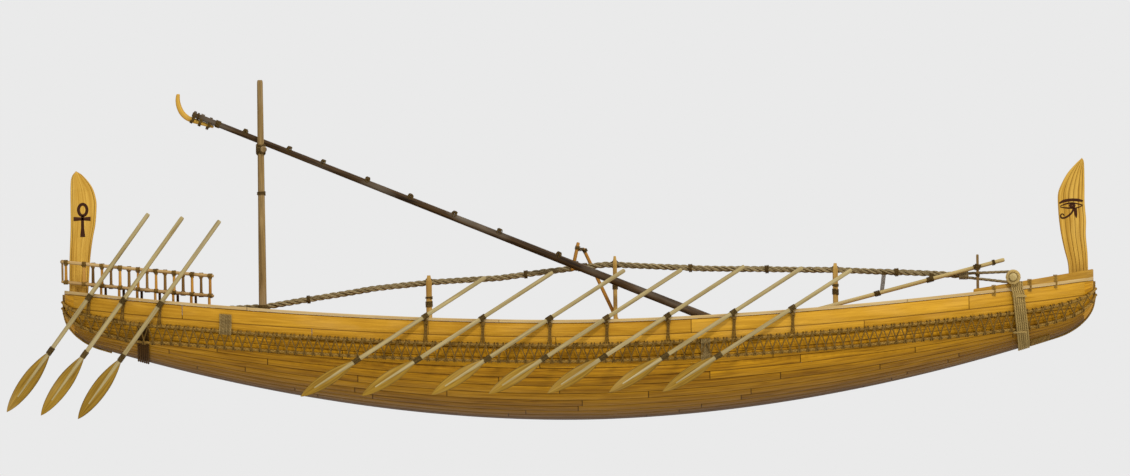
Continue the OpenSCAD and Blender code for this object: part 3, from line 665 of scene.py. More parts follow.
def girth_angle(x, part):
    """Angle for a share of the girth: 0 to 1 is the sheer strake, 1 to 2 the planking below it."""
    seam = angle_at(x, DECK_DROP)
    if part <= 1:
        return angle_at(x, DECK_DROP * part)
    return seam + (math.pi / 2 - seam) * (part - 1)


def joints_between(x0, x1, first, spacing):
    """Places of the butt joints along one row of planks."""
    out = [x0]
    at = x0 + first
    while at < x1 - 0.7:
        if at > x0 + 0.5:
            out.append(at)
        at += spacing * (0.8 + 0.4 * RNG.random())
    return out + [x1]


def build_planking(look):
    shape = Shape()
    edges = np.linspace(1, 2, look.rows + 1)
    for side in (-1, 1):
        for row, (low, high) in enumerate(zip(edges[:-1], edges[1:])):
            cuts = joints_between(-HALF_L, HALF_L, look.plank_length * ((row * 0.38) % 1.0),
                                  look.plank_length)
            for a, b in zip(cuts[:-1], cuts[1:]):
                strake(shape, side, a, b, low, high, RNG.random(), HIDDEN_MARKS)
    make(shape, "hull_planks", "hull", FINISH["hull_wood"], "hull_wood", "hull_planking")


def build_ends():
    """Solid timbers that the planks close on at the bow and stern."""
    for name, sign in (("bow", 1), ("stern", -1)):
        shape = Shape()
        xs = np.concatenate([np.linspace(BODY_X - 0.02, HALF_L - 0.02, 14), [HALF_L - 0.006, HALF_L - 0.002]])
        ease = np.zeros(len(xs))
        ease[-1] = 0.006
        turns = np.linspace(0.03, math.pi / 2, 12)
        side = np.stack([skin(sign * xs, 0.016 + ease, a) for a in turns], axis=1)
        side[:, :, 2] -= 0.008
        core = np.concatenate([side, mirrored(side[:, ::-1][:, 1:])], axis=1)
        loft(shape, core, 0.15, 0.6, 0.0)
        make(shape, name + "_end_timber", "hull", FINISH["hull_wood"], "hull_wood", name + "_block")


def build_sheer():
    for name, side in SIDES:
        shape = Shape()
        for row, (low, high) in enumerate(SHEER_ROWS):
            cuts = joints_between(-HALF_L, HALF_L, 2.0 + 2.2 * row, 4.4)
            for a, b in zip(cuts[:-1], cuts[1:]):
                strake(shape, side, a, b, low, high, RNG.random(), INNER_MARKS)
        make(shape, "sheer_planks_" + name, "hull", FINISH["strake_wood"], "strake_wood",
             "sheer_strake_" + name)


def rail_loft(shape, xs, side, ring, seam, tint, marks):
    """Rail along the hull's side whose corners (out from the middle, height) follow its stations."""
    rings = np.stack([np.stack([xs, side * y, z], axis=-1) for y, z in ring], axis=1)
    loft(shape, rings, seam, tint, 0.0, np.array(marks) * 0.01)


def build_gunwales():
    for name, side in SIDES:
        low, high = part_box("gunwale_" + name)
        shape = Shape()
        cuts = joints_between(low[0], high[0], 3.1, 3.6)
        for a, b in zip(cuts[:-1], cuts[1:]):
            inside = np.linspace(a + 0.03, b - 0.03, 24)
            xs = np.concatenate([[a + 0.002, a + 0.01], inside, [b - 0.01, b - 0.002]])
            ease = np.zeros(len(xs))
            ease[[0, -1]] = 0.008
            half = half_b(xs)
            z0 = sheer_z(xs) + 0.001
            out = half + GUNWALE_LIP - ease
            inn = np.maximum(half - GUNWALE_IN, 0.004) + ease
            z1 = z0 + GUNWALE_H - ease
            ring = [(out, z0), (out, z0 + 0.018), (out, z1 - 0.012), (out - 0.010, z1), ((out + inn) / 2, z1),
                    (inn + 0.010, z1), (inn, z1 - 0.012), (inn, z0)]
            seam = np.zeros((len(xs), 8))
            seam[[0, -1]] = 0.9
            rail_loft(shape, xs, side, ring, seam, RNG.random(), [0, 2, 4, 5, 10, 16, 18, 22])
        make(shape, "gunwale_rail_" + name, "hull", FINISH["rail_wood"], "rail_wood", "gunwale_" + name)


def build_bow_caps():
    shape = Shape()
    ties = Shape()
    low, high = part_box("bow_caps")
    cap_from, cap_to = low[0] + 0.002, high[0] - 0.002
    for side in (-1, 1):
        xs = np.unique(np.concatenate([np.linspace(cap_from, cap_to, 34), [cap_from + 0.02, cap_to - 0.02]]))
        t = (xs - cap_from) / (cap_to - cap_from)
        ease = np.where((xs < cap_from + 0.01) | (xs > cap_to - 0.01), 0.012, 0.0)
        half = half_b(xs)
        inn = np.maximum(half - 0.12, 0.005)
        z0 = rail_z(xs) + 0.001
        z1 = rail_z(xs) + 0.05 + 0.088 * t - ease
        out = half - 0.002 - ease
        ring = [(out, z0), (out, 0.5 * (z0 + z1)), (out - 0.002, z1 - 0.016), (out - 0.016, z1),
                ((out + inn) / 2, z1 + 0.001), (inn + 0.014, z1), (inn, z1 - 0.014), (inn, z0)]
        rail_loft(shape, xs, side, ring, 0.0, 0.5 + 0.1 * side, [0, 4, 7, 8, 14, 20, 21, 26])
        for x in (7.05, 7.66, 8.10):
            y0, y1 = float(half_b(x)), max(float(half_b(x)) - 0.12, 0.005)
            top = float(rail_z(x)) + 0.05 + 0.088 * (x - cap_from) / (cap_to - cap_from)
            base = float(rail_z(x)) - 0.004
            for turn in range(4):
                dx = (turn - 1.5) * 0.019
                corners = [(y0 + 0.009, base - 0.10), (y0 + 0.009, top - 0.004), (y0 - 0.006, top + 0.011),
                           (y1 + 0.006, top + 0.011), (y1 - 0.009, top - 0.004), (y1 - 0.009, base)]
                path = [(x + dx, side * y, z) for y, z in corners if abs(y) > 0.004]
                tube(ties, resample(path, 0.03), 0.009, 5, strands=2, pitch=0.05)
    make(shape, "bow_cap_rails", "hull", FINISH["cap_wood"], "rail_wood", "bow_caps")
    make(ties, "bow_cap_lashings", "hull", FINISH["girdle_rope"], "rope")


def build_deck(look):
    shape = Shape()
    width = look.board_width
    count = int(BEAM / width) + 1
    for board in range(count):
        y0 = (board - count / 2) * width
        y1 = y0 + width
        xs = np.linspace(-BODY_X + 0.01, BODY_X - 0.01, 100)
        inner = np.array([float(-skin(x, PLANK_T + 0.012, float(angle_at(x, DECK_DROP)))[1]) for x in xs])
        lo = np.maximum(y0, -inner)
        hi = np.minimum(y1, inner)
        inside = np.where(hi - lo > 0.03)[0]
        if len(inside) < 4:
            continue
        cuts = joints_between(xs[inside[0]], xs[inside[-1]], 1.0 + 3.4 * RNG.random(), 4.2)
        for a, b in zip(cuts[:-1], cuts[1:]):
            part = np.linspace(a + 0.002, b - 0.002, max(4, int((b - a) / 0.25)))
            lo_part = np.interp(part, xs, lo) + 0.001
            hi_part = np.interp(part, xs, hi) - 0.001
            z = deck_z(part)
            high = np.stack([np.stack([part, lo_part, z], -1), np.stack([part, hi_part, z], -1)], axis=1)
            plank(shape, high - np.array([0, 0, 0.044]), high, edge=0.008, crown=0.001)
    make(shape, "deck_boards", "hull", FINISH["deck_wood"], "deck_wood", "deck")


# ---- Carved boards ----
BOARD_HALF_T = 0.065
INLAY_Y = 0.0635
BOW_EDGE = [(-6, 0.0), (320, -0.012), (590, -0.075), (845, -0.125), (1085, -0.155), (1320, -0.17),
            (1510, -0.168), (1650, -0.125), (1860, -0.01), (2030, 0.14), (2130, 0.25)]
BOW_BACK = [(-6, 0.33), (470, 0.325), (800, 0.3), (1080, 0.306), (1370, 0.286), (1680, 0.288), (2040, 0.284),
            (2130, 0.25)]
STERN_EDGE = [(-6, 0.0), (590, 0.01), (1130, 0.036), (1500, 0.04), (1900, 0.046), (2040, 0.072), (2128, 0.14)]
STERN_BACK = [(-6, 0.32), (620, 0.365), (970, 0.412), (1210, 0.46), (1450, 0.482), (1640, 0.478),
              (1860, 0.408), (2050, 0.258), (2128, 0.14)]


def outline(table, z):
    """Smooth edge through a table of heights in millimetres and places in metres."""
    curve = smooth_path([(height / 1000, place, 0) for height, place in table], 0.01)
    return np.interp(z, curve[:, 0], curve[:, 1])


def carved_board(x0, z0, front, back, grooves):
    """Standing board between two curved edges, with grooves down both faces and rounded edges."""
    top = front[-1][0] / 1000
    z = np.concatenate([np.linspace(-0.006, top - 0.16, 60), top - 0.16 * np.linspace(1, 0.0, 16)[1:] ** 1.6])
    left = outline(front, z)
    right = np.maximum(outline(back, z), left + 0.002)
    wide = right - left
    face = [(0.0, 0.30), (0.012, 0.72), (0.045, 0.97)]
    for g in grooves:
        face += [(g - 0.022, 1.0), (g - 0.007, 0.93), (g, 0.89), (g + 0.007, 0.93), (g + 0.022, 1.0)]
    face += [(0.955, 0.97), (0.988, 0.72), (1.0, 0.30)]
    thin = BOARD_HALF_T * np.minimum(1.0, 0.35 + wide / 0.18)
    rings = []
    seams = []
    for sign in (-1, 1):
        marks = face if sign < 0 else face[::-1]
        for across, depth in marks:
            px = x0 + left + wide * across
            pz = z0 + z
            lift = (sheer_z(px) - 0.006 - (z0 - 0.006)) * np.clip(1 - (z + 0.006) / 0.25, 0, 1)
            rings.append(np.stack([px, sign * thin * depth, pz + lift], axis=-1))
            # Painted shade: the points down in the grooves get a high seam mark, which darkens them.
            seams.append(0.9 if 0.05 < across < 0.95 and depth < 0.95 else 0.0)
    rings = np.stack(rings, axis=1)
    shape = Shape()
    around = np.concatenate([[m[0] * 0.45 for m in face], [1.0 + m[0] * 0.45 for m in face]])
    seam = np.broadcast_to(np.array(seams), rings.shape[:2])
    # Painted shade: the board grows darker toward its foot.
    shade = np.broadcast_to(np.clip(0.5 - z / 0.8, 0, 0.5)[:, None], rings.shape[:2])
    loft(shape, rings, seam, 0.55, shade, around)
    return shape


def stroke(shape, points, wide, side, taper=None, closed=False):
    """Raised band of inlay along points (x, z), lying on the board's face."""
    points = [(x, 0, z) for x, z in points]
    path = smooth_path(points, 0.018) if len(points) > 2 else resample(points, 0.03)
    ahead = np.gradient(path, axis=0)
    if closed:
        path = path[:-1]
        ahead = np.roll(path, -1, axis=0) - np.roll(path, 1, axis=0)
        path = np.concatenate([path, path[:1]])
        ahead = np.concatenate([ahead, ahead[:1]])
    ahead = ahead / np.linalg.norm(ahead, axis=1)[:, None]
    square = np.stack([-ahead[:, 2], 0 * ahead[:, 0], ahead[:, 0]], axis=-1)
    along = np.linspace(0, 1, len(path))
    widths = wide / 2 * (1 + 0 * along if taper is None else np.interp(along, *zip(*taper)))
    rings = []
    for across, out in ((-1, -0.004), (-1, 0.0027), (-0.8, 0.006), (0.8, 0.006), (1, 0.0027), (1, -0.004)):
        ring = path + square * (widths * across)[:, None]
        ring[:, 1] = side * (INLAY_Y + out)
        rings.append(ring)
    loft(shape, np.stack(rings, axis=1), 0.0, 0.5, 0.0, np.array([0, 1, 2, 5, 6, 7]) * 0.01)


# Strokes of the inlays: points (x, z), width and the taper as (share along, share of width)
EYE_X, EYE_Z, EYE_R = 8.405, 2.596, 0.030
EYE_TOP = [
    ([(8.185, 2.635), (8.26, 2.672), (8.38, 2.690), (8.50, 2.686), (8.585, 2.668)], 0.050,
     [(0, 0.5), (0.2, 1.0), (0.8, 1.0), (1, 0.7)]),
    ([(8.195, 2.585), (8.29, 2.622), (8.40, 2.640), (8.50, 2.622), (8.585, 2.598)], 0.026,
     [(0, 0.5), (0.3, 1.0), (1, 0.7)]),
    ([(8.20, 2.570), (8.30, 2.556), (8.40, 2.548), (8.50, 2.560), (8.575, 2.592)], 0.026,
     [(0, 0.5), (0.3, 1.0), (1, 0.6)]),
]
EYE_BELOW = [
    ([(8.455, 2.548), (8.462, 2.47), (8.47, 2.385)], 0.056, [(0, 1.0), (0.7, 0.8), (1, 0.3)]),
    ([(8.43, 2.545), (8.39, 2.47), (8.32, 2.41), (8.245, 2.383), (8.205, 2.405), (8.215, 2.448),
      (8.25, 2.452), (8.262, 2.424)], 0.032, [(0, 1.0), (0.6, 1.0), (1, 0.5)]),
]
ANKH_ARMS = [
    ([(-8.575, 2.590), (-8.286, 2.590)], 0.062, [(0, 1.2), (0.5, 0.8), (1, 1.2)]),
    ([(-8.424, 2.650), (-8.424, 2.283)], 0.058, [(0, 0.85), (0.6, 0.95), (1, 1.5)]),
]


def oval(x, z, wide, high, start, count):
    turns = np.linspace(start, start + 2 * math.pi, count)
    return [(x + wide * math.cos(a), z + high * math.sin(a)) for a in turns]


def build_bow_board():
    x0 = HALF_L - 0.42
    shape = carved_board(x0, float(sheer_z(x0)), BOW_EDGE, BOW_BACK, (0.22, 0.4, 0.58, 0.76, 0.9))
    make(shape, "bow_board", "hull", FINISH["carved_wood"], "carved_wood", "bow_post")
    eye = Shape()
    for side in (-1, 1):
        for points, wide, taper in EYE_TOP:
            stroke(eye, points, wide, side, taper)
        stroke(eye, oval(EYE_X, EYE_Z, EYE_R, EYE_R, 0, 15), 0.052, side, closed=True)
        for points, wide, taper in EYE_BELOW:
            stroke(eye, points, wide, side, taper)
    make(eye, "bow_eye_inlay", "hull", FINISH["inlay"], "carved_wood")


def build_stern_board():
    x0 = -HALF_L + 0.085
    shape = carved_board(x0, float(sheer_z(x0 + 0.32)), STERN_EDGE, STERN_BACK, (0.09, 0.91))
    make(shape, "stern_board", "hull", FINISH["carved_wood"], "carved_wood", "stern_post")
    ankh = Shape()
    for side in (-1, 1):
        stroke(ankh, oval(-8.418, 2.742, 0.072, 0.098, -math.pi / 2, 19), 0.052, side, closed=True)
        for points, wide, taper in ANKH_ARMS:
            stroke(ankh, points, wide, side, taper)
    make(ankh, "stern_ankh_inlay", "hull", FINISH["inlay"], "carved_wood")


# ---- Stern railing and platform ----
RAIL_X = [-1.003 * HALF_L, -0.903 * HALF_L, -0.806 * HALF_L, -0.7095 * HALF_L]
RAIL_AFT_Y = 0.42
RAIL_FORE_Y = 1.0
RAIL_LIFTS = (0.49, 0.15)
RAIL_R = 0.029
BALUSTER_STEP = 0.306


def rail_y(x):
    return RAIL_AFT_Y + (RAIL_FORE_Y - RAIL_AFT_Y) / (RAIL_X[-1] - RAIL_X[0]) * (x - RAIL_X[0])


def rail_base(x):
    return float(np.interp(x, RAIL_X, [float(rail_z(v)) for v in RAIL_X]))


def build_side_railing(name, side):
    rails = Shape()
    sticks = Shape()
    ties = Shape()
    for lift in RAIL_LIFTS:
        path = resample([(x, side * rail_y(x), rail_base(x) + lift) for x in RAIL_X], 0.12)
        radius = np.full(len(path), RAIL_R)
        radius[[0, -1]] = 0.021
        tube(rails, path, radius, 12, wobble=0.02)
    shift = BALUSTER_STEP / 2 if side > 0 else 0.0
    first, last = RAIL_X[0] + 0.06, RAIL_X[-1] - 0.04
    for x in np.arange(first + shift, last, BALUSTER_STEP):
        y, base = side * rail_y(x), rail_base(x)
        pole(sticks, (x, y, base + 0.166), (x, y, base + 0.474), RAIL_R, 0.025, 10, swell=0.05)
        for lift in RAIL_LIFTS:
            coil(ties, (x, y, base + lift), (1, side * 0.226, 0.0), RAIL_R, 0.075, 0.007)
        coil(ties, (x, y, base + 0.446), (0, 0, 1), 0.0235, 0.03, 0.006)
    for x in np.arange(max(first, 0.06 - BODY_X) + shift / 2 + 0.04, last, BALUSTER_STEP):
        y, base = side * rail_y(x), rail_base(x)
        pole(sticks, (x, y, float(deck_z(x)) + 0.006), (x, y, base + 0.135), 0.028, 0.025, 10, swell=0.05)
    make(rails, "railing_rails_" + name, "hull", FINISH["railing_wood"], "railing_wood",
         "stern_railing_" + name)
    # Painted shade: the balusters on the far, port side take the darker baluster finish.
    make(sticks, "railing_balusters_" + name, "hull", FINISH["baluster_" + name], "railing_wood")
    make(ties, "railing_lashings_" + name, "hull", FINISH["lacing"], "rope")


def build_aft_railing():
    shape = Shape()
    x = RAIL_X[0]
    y = RAIL_AFT_Y - 0.0295
    base = rail_base(x)
    for lift in reversed(RAIL_LIFTS):
        pole(shape, (x, -y, base + lift), (x, y, base + lift), 0.0255, 0.0255, 12)
    for part in (-0.6, 0.0, 0.6):
        pole(shape, (x, part * y, base + 0.16), (x, part * y, base + 0.48), 0.0195, 0.0195, 10)
        coil(shape, (x, part * y, base + RAIL_LIFTS[0]), (0, 1, 0), 0.026, 0.05, 0.0055)
    make(shape, "railing_aft_rails", "hull", FINISH["railing_wood"], "railing_wood", "stern_railing_aft")


def build_platform():
    shape = Shape()
    low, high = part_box("stern_platform")
    x = low[0] + 0.002
    while x < high[0] - 0.05:
        step = 0.16 + 0.05 * RNG.random()
        end = min(x + step, high[0] - 0.002)
        if high[0] - end < 0.08:
            end = high[0] - 0.002
        ys = np.linspace(-1, 1, 9)
        lows = []
        highs = []
        for part in ys:
            a = (x + 0.002, part * (rail_y(x) - 0.031))
            b = (end - 0.002, part * (rail_y(end) - 0.031))
            za, zb = rail_base(a[0]) + 0.15, rail_base(b[0]) + 0.15
            highs.append([(b[0], b[1], zb + 0.019), (a[0], a[1], za + 0.019)])
            lows.append([(b[0], b[1], zb - 0.019), (a[0], a[1], za - 0.019)])
        plank(shape, lows, highs, edge=0.007, crown=0.0008)
        x = end
    make(shape, "stern_platform_boards", "hull", FINISH["deck_wood"], "deck_wood", "stern_platform")


# ---- Ropes round the hull ----
GIRDLE_R = 0.025
GIRDLE_DEPTHS = (0.38, 0.645)
LACING_R = 0.0112
# Bands across the girdle: place along the ship, first and last depth, count of ropes
GIRDLE_BANDS = ((-6.0, 0.09, 0.42, 9), (2.15, 0.34, 0.70, 7))
BELT_ROPES = 6
BOW_BELT_X = 0.85 * HALF_L
BOW_BELT_RAKE = 103.0 / 900


def girdle_bump(x):
    return 0.043 * max(0.0, min(1.0, (0.44 - abs(x - STERN_BELT_X)) / 0.3))


def girdle_point(x, depth, off=GIRDLE_R + 0.002):
    return off_skin(x, depth, off + girdle_bump(x))


def girdle_loop(depth):
    xs = HALF_L * np.sin(np.linspace(-1, 1, 121) * math.pi / 2 * 0.965)
    side = [girdle_point(x, depth) for x in xs]
    out = GIRDLE_R + 0.005
    ends = []
    for s in (1, -1):
        x = s * HALF_L
        p = off_skin(x - s * 0.001, depth, 0.0)
        ends.append([np.array([x + s * out * (1.2 - 0.45 * abs(w)), -w * (abs(p[1]) + 0.66 * out), p[2]])
                     for w in (1, 0, -1)])
    return side + ends[0] + [mirrored(p) for p in side[::-1]] + ends[1][::-1]


def build_girdle_ropes():
    shape = Shape()
    for depth in GIRDLE_DEPTHS:
        loop = girdle_loop(depth)
        path = resample(loop + [loop[0]], 0.034)[:-1]
        tube(shape, path, GIRDLE_R, 12, strands=3, pitch=0.21, tint=0.5, loop=True)
    make(shape, "girdle_rope_pair", "hull", FINISH["girdle_rope"], "rope", "girdle_ropes")


def build_lacing(step):
    """Turns of thin rope crossing between the two girdle ropes, hitched round the upper one."""
    shape = Shape()
    over = GIRDLE_R * 2 + 0.010
    round_it = GIRDLE_R * 2 + 0.006
    for side in (-1, 1):
        xs = []
        x = -HALF_L + 0.10
        while x < HALF_L - 0.10:
            xs.append(x)
            x += step
        for x in xs:
            for lean, off in ((-1, GIRDLE_R + 0.026), (1, GIRDLE_R + 0.036)):
                x1 = min(max(x + lean * step * 0.62, -HALF_L + 0.03), HALF_L - 0.03)
                turns = ((x, 0.346, 0.012), (x, 0.362, round_it), (x, 0.385, over),
                         (0.5 * (x + x1), 0.51, off - 0.018), (x1, 0.635, over), (x1, 0.662, round_it),
                         (x1, 0.682, 0.012))
                points = [on_side(girdle_point(*turn), side) for turn in turns]
                tube(shape, points, LACING_R, 5, tint=0.2 + 0.4 * RNG.random())
            top = on_side(girdle_point(x + 0.35 * step, 0.372, GIRDLE_R + 0.004), side)
            coil(shape, top, (1, 0, 0), GIRDLE_R, 0.03, 0.008, turns=1.6)
    make(shape, "girdle_lacing", "hull", FINISH["lacing"], "rope")


def build_bands():
    """Bands of rope laid side by side across the girdle."""
    shape = Shape()
    for x, first, last, count in GIRDLE_BANDS:
        for i in range(count):
            at = x + (i - count / 2) * 0.023
            for side in (-1, 1):
                path = []
                for depth in np.linspace(first, last, 16):
                    on_rope = min(abs(depth - rope) for rope in GIRDLE_DEPTHS) < 0.05
                    path.append(on_side(off_skin(at, depth, 2 * GIRDLE_R + 0.012 if on_rope else 0.022),
                                        side))
                tube(shape, resample(path, 0.03), 0.0115, 6, strands=2, pitch=0.07)
    make(shape, "girdle_bands", "hull", FINISH["rope"], "rope")


def build_stem_lashings():
    """Turns under the bow, and a pair of ropes up each end of the keel."""
    shape = Shape()
    for x in np.arange(7.62, 7.98, 0.021):
        path = [skin(x, 0, a) + 0.012 * skin_normal(x, a) for a in np.linspace(1.12, math.pi / 2, 8)]
        path = path + [mirrored(p) for p in path[::-1][1:]]
        path = [p + np.array([0.03 * (i / len(path)), 0, 0]) for i, p in enumerate(path)]
        tube(shape, path, 0.0095, 5, strands=2, pitch=0.06)
    for sign, start in ((-1, 7.95), (1, 7.66)):
        heights = np.linspace(float(bottom_z(HALF_L)) + 0.02, float(sheer_z(HALF_L)) - 0.02, 10)
        for y in (-0.022, 0.022):
            path = [(sign * x, y, float(bottom_z(x)) - 0.008) for x in np.linspace(start, HALF_L - 0.01, 40)]
            path += [(sign * (HALF_L + 0.012), y, z) for z in heights]
            tube(shape, resample(path, 0.02), 0.02, 8, strands=3, pitch=0.11, up=(0, 1, 0))
    make(shape, "stem_lashings", "hull", FINISH["girdle_rope"], "belt_rope")


def belt_ropes(shape, centre_x, rake, off_of, first, head=None):
    """Ropes lying side by side right round the hull, leaning forward with depth."""
    spacing = 0.2 / BELT_ROPES
    for i in range(BELT_ROPES):
        shift = (i - (BELT_ROPES - 1) / 2) * spacing
        half = [] if head is None else head(shift)
        for a in np.linspace(first, math.pi / 2, 26):
            x = centre_x + rake * 0.9 * math.sin(a) + shift
            half.append(skin(x, 0, a) + (off_of(a) + 0.02) * skin_normal(x, a))
        half[-1][1] = 0.0
        path = half + [mirrored(p) for p in half[::-1][1:]]
        tube(shape, resample(path, 0.03), spacing * 0.52, 10, strands=3, pitch=0.16,
             tint=0.3 + 0.4 * RNG.random())


def build_stern_belt():
    shape = Shape()
    belt_ropes(shape, STERN_BELT_X, 0.0, lambda a: 0.0035, math.radians(22))
    for side in (-1, 1):
        for x in (-0.06, 0.02, 0.07):
            knot = on_side(off_skin(STERN_BELT_X + x, 0.40, 0.03), side)
            coil(shape, knot, (0, 0.25 * -side, 1), 0.020, 0.05, 0.010, turns=2.4)
    make(shape, "stern_belt_ropes", "hull", FINISH["stern_belt"], "belt_rope", "stern_belt")


def bow_belt_off(a):
    deg = math.degrees(a)
    return 0.058 if deg < 55 else 0.058 - 0.053 * (deg - 55) / 35


def bow_belt_head(shift):
    """Straight stretch of one rope of the bow belt, from the crossbeam down to the hull."""
    x = BOW_BELT_X + shift
    start = skin(x, 0, math.radians(1)) + 0.076 * skin_normal(x, math.radians(1))
    top = BEAM_Z - BEAM_R - 0.003
    return [np.array([start[0] - 0.02, start[1], z]) for z in np.linspace(top, start[2] + 0.03, 5)]


def build_bow_belt():
    shape = Shape()
    belt_ropes(shape, BOW_BELT_X, BOW_BELT_RAKE, bow_belt_off, math.radians(1.5), bow_belt_head)
    for side in (-1, 1):
        for z in (1.07, 0.50):
            depth = float(sheer_z(BOW_BELT_X)) - z
            turns = on_side(off_skin(BOW_BELT_X + 0.02, max(depth, 0.02), 0.078), side)
            coil(shape, turns, (0, 0.2 * -side, 1), 0.108, 0.036, 0.009, turns=2.3, other=0.026)
    make(shape, "bow_belt_ropes", "hull", FINISH["belt"], "belt_rope", "bow_belt")


# ---- Hogging truss and its gear ----
def truss_points():
    stern_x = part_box("hogging_truss")[0][0]
    points = [(stern_x + 0.03, 0.0, middle("stern_crossbeam")[2])]
    points += [(t * HALF_L, 0.0, float(deck_z(t * HALF_L)) + lift) for t, lift in TRUSS]
    points.append((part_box("hogging_truss")[1][0] - 0.05, 0.0, BEAM_Z))
    return points


def rope_z(x):
    points = truss_points()
    return float(np.interp(x, [p[0] for p in points], [p[2] for p in points]))


def build_truss(look):
    shape = Shape()
    points = truss_points()
    split = 0.745 * HALF_L
    laid = [p for p in points if p[0] < split] + [(split, 0.0, rope_z(split))]
    path = resample(laid, 0.04)
    _, side, over = frames(path)
    lengths = np.arange(len(path)) * 0.04
    for strand in range(3):
        turn = 2 * math.pi * (lengths / look.truss_pitch + strand / 3)
        centre = path + 0.0285 * (side * np.cos(turn)[:, None] + over * np.sin(turn)[:, None])
        tube(shape, centre, 0.0275, 9, strands=3, pitch=0.13, tint=0.35 + 0.2 * strand)
    r = BEAM_R + 0.027
    turns = np.linspace(math.radians(-100), math.radians(100), 18)
    for y, lift in ((-0.030, 0.004), (0.030, -0.004)):
        loop = [(BEAM_X + r * math.cos(a), y, BEAM_Z + r * math.sin(a)) for a in turns]
        start = (split - 0.03, 0.4 * y, rope_z(split) - 0.026)
        end = (split - 0.03, 0.4 * y, rope_z(split) + 0.026)
        tube(shape, resample([start] + loop + [end], 0.03), 0.0255, 10, strands=3, pitch=0.13, tint=0.5)
    coil(shape, (split + 0.02, 0, rope_z(split)), (1, 0, 0), 0.058, 0.16, 0.010)
    low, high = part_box("stern_crossbeam")
    cx, _, cz = middle("stern_crossbeam")
    r = 0.5 * (high[0] - low[0]) + 0.021
    tail_x = cx + 0.34
    turns = np.linspace(0.5, 2 * math.pi - 0.5, 24)
    for y in (-0.044, 0.0, 0.044):
        loop = [(cx + r * math.cos(a), y, cz + r * math.sin(a)) for a in turns]
        tails = [(tail_x, y * 0.3, rope_z(tail_x) + lift) for lift in (0.02, -0.02)]
        tube(shape, resample([tails[0], *loop, tails[1]], 0.025), 0.019, 8, strands=3, pitch=0.1)
    coil(shape, (cx + 0.30, 0, rope_z(cx + 0.30)), (1, 0, 0), 0.056, 0.11, 0.009)
    make(shape, "hogging_truss_rope", "hull", FINISH["truss_rope"], "rope", "hogging_truss")
    ties = Shape()
    for x, width in ((0.06, 0.16), (-4.6, 0.06), (-0.9, 0.06), (1.9, 0.06), (3.2, 0.06), (5.4, 0.07)):
        coil(ties, (x, 0, rope_z(x)), (1, 0, 0.05), 0.056, width, 0.009)
    make(ties, "truss_seizings", "hull", FINISH["lashing"], "rope")


# Crutches under the truss: name, place along the ship, depth, rise of the fork over the rope
TRUSS_CRUTCHES = (("aft", -2.55, 0.108, 0.12), ("mid", 0.615, 0.078, 0.15), ("fore", 4.36, 0.098, 0.12))


def build_crutches():
    for name, x, depth, over in TRUSS_CRUTCHES:
        low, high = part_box("truss_crutch_" + name)
        base, top = low[2], high[2]
        z = rope_z(x)
        seat = z - 0.070
        half = depth / 2 - 0.003
        shape = Shape()
        ties = Shape()
        for sign in (-1, 1):
            spine = [(0.0, base + 0.001, 0.047), (0.0, base + 0.3, 0.045), (0.0, seat - 0.24, 0.046),
                     (sign * 0.012, seat - 0.13, 0.044), (sign * 0.050, seat - 0.03, 0.030),
                     (sign * 0.080, z + 0.02, 0.020), (sign * 0.079, z + over - 0.06, 0.017),
                     (sign * 0.070, top - 0.004, 0.006)]
            if sign > 0:
                spine = spine[3:]
            curve = smooth_path([(s[0], s[1], s[2] * 10) for s in spine], 0.02)
            rings = []
            for y, height, wide10 in curve:
                wide = wide10 / 10
                t = np.clip((height - (z + over - 0.12)) / 0.12, 0, 1)
                deep = half * (1 - 0.45 * t)
                turn = 2 * math.pi * (np.arange(14) + 0.5) / 14
                cs, sn = np.cos(turn), np.sin(turn)
                rings.append(np.stack([x + deep * np.sign(cs) * np.abs(cs) ** 0.7,
                                       y + wide * np.sign(sn) * np.abs(sn) ** 0.7, height + 0 * cs], axis=-1))
            loft(shape, rings, 0.0, 0.5, 0.0, np.arange(14) * 0.014)
        for height, width in ((seat - 0.30, 0.10), (seat - 0.19, 0.04), (base + 0.10, 0.05)):
            coil(ties, (x, 0, height), (0, 0, 1), half, width, 0.008, other=0.049)
        coil(ties, (x, 0, z + 0.005), (0.0, 1.0, 0.0), 0.060, 0.05, 0.009, turns=3)
        make(shape, "truss_crutch_post_" + name, "hull", FINISH["crutch_wood"], "crutch_wood",
             "truss_crutch_" + name)
        make(ties, "truss_crutch_lashing_" + name, "hull", FINISH["lashing"], "rope")


def build_crossbeams():
    for node, name in (("bow_crossbeam", "bow"), ("stern_crossbeam", "stern")):
        low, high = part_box(node)
        cx, _, cz = middle(node)
        r = 0.5 * (high[0] - low[0])
        y = high[1] - 0.002
        ys = np.array([0, 0.006, 0.02, 0.05, 0.09, 0.10, 0.12, 0.13, 0.4])
        rs = np.array([0.70, 0.90, 0.985, 1.0, 0.99, 0.95, 0.95, 0.99, 1.0]) * r
        path = [(cx, -y + v, cz) for v in ys] + [(cx, y - v, cz) for v in ys[::-1]]
        shape = Shape()
        tube(shape, path, np.concatenate([rs, rs[::-1]]), 28, tint=0.6)
        make(shape, name + "_crossbeam_pole", "hull", FINISH["spar_wood"], "spar_wood", node)
        ties = Shape()
        if name == "bow":
            for side in (-1, 1):
                belt_y = side * (float(half_b(BEAM_X)) + 0.078)
                coil(ties, (cx, belt_y, cz), (0, 1, 0), r, 0.14, 0.031, turns=2.6, sides=8)
                coil(ties, (cx, belt_y - side * 0.17, cz), (0, 1, 0), r, 0.06, 0.010)
        else:
            for side in (-1, 1):
                coil(ties, (cx, side * (y - 0.14), cz), (0, 1, 0), r, 0.08, 0.010)
        make(ties, name + "_crossbeam_lashings", "hull", FINISH["belt"], "rope")


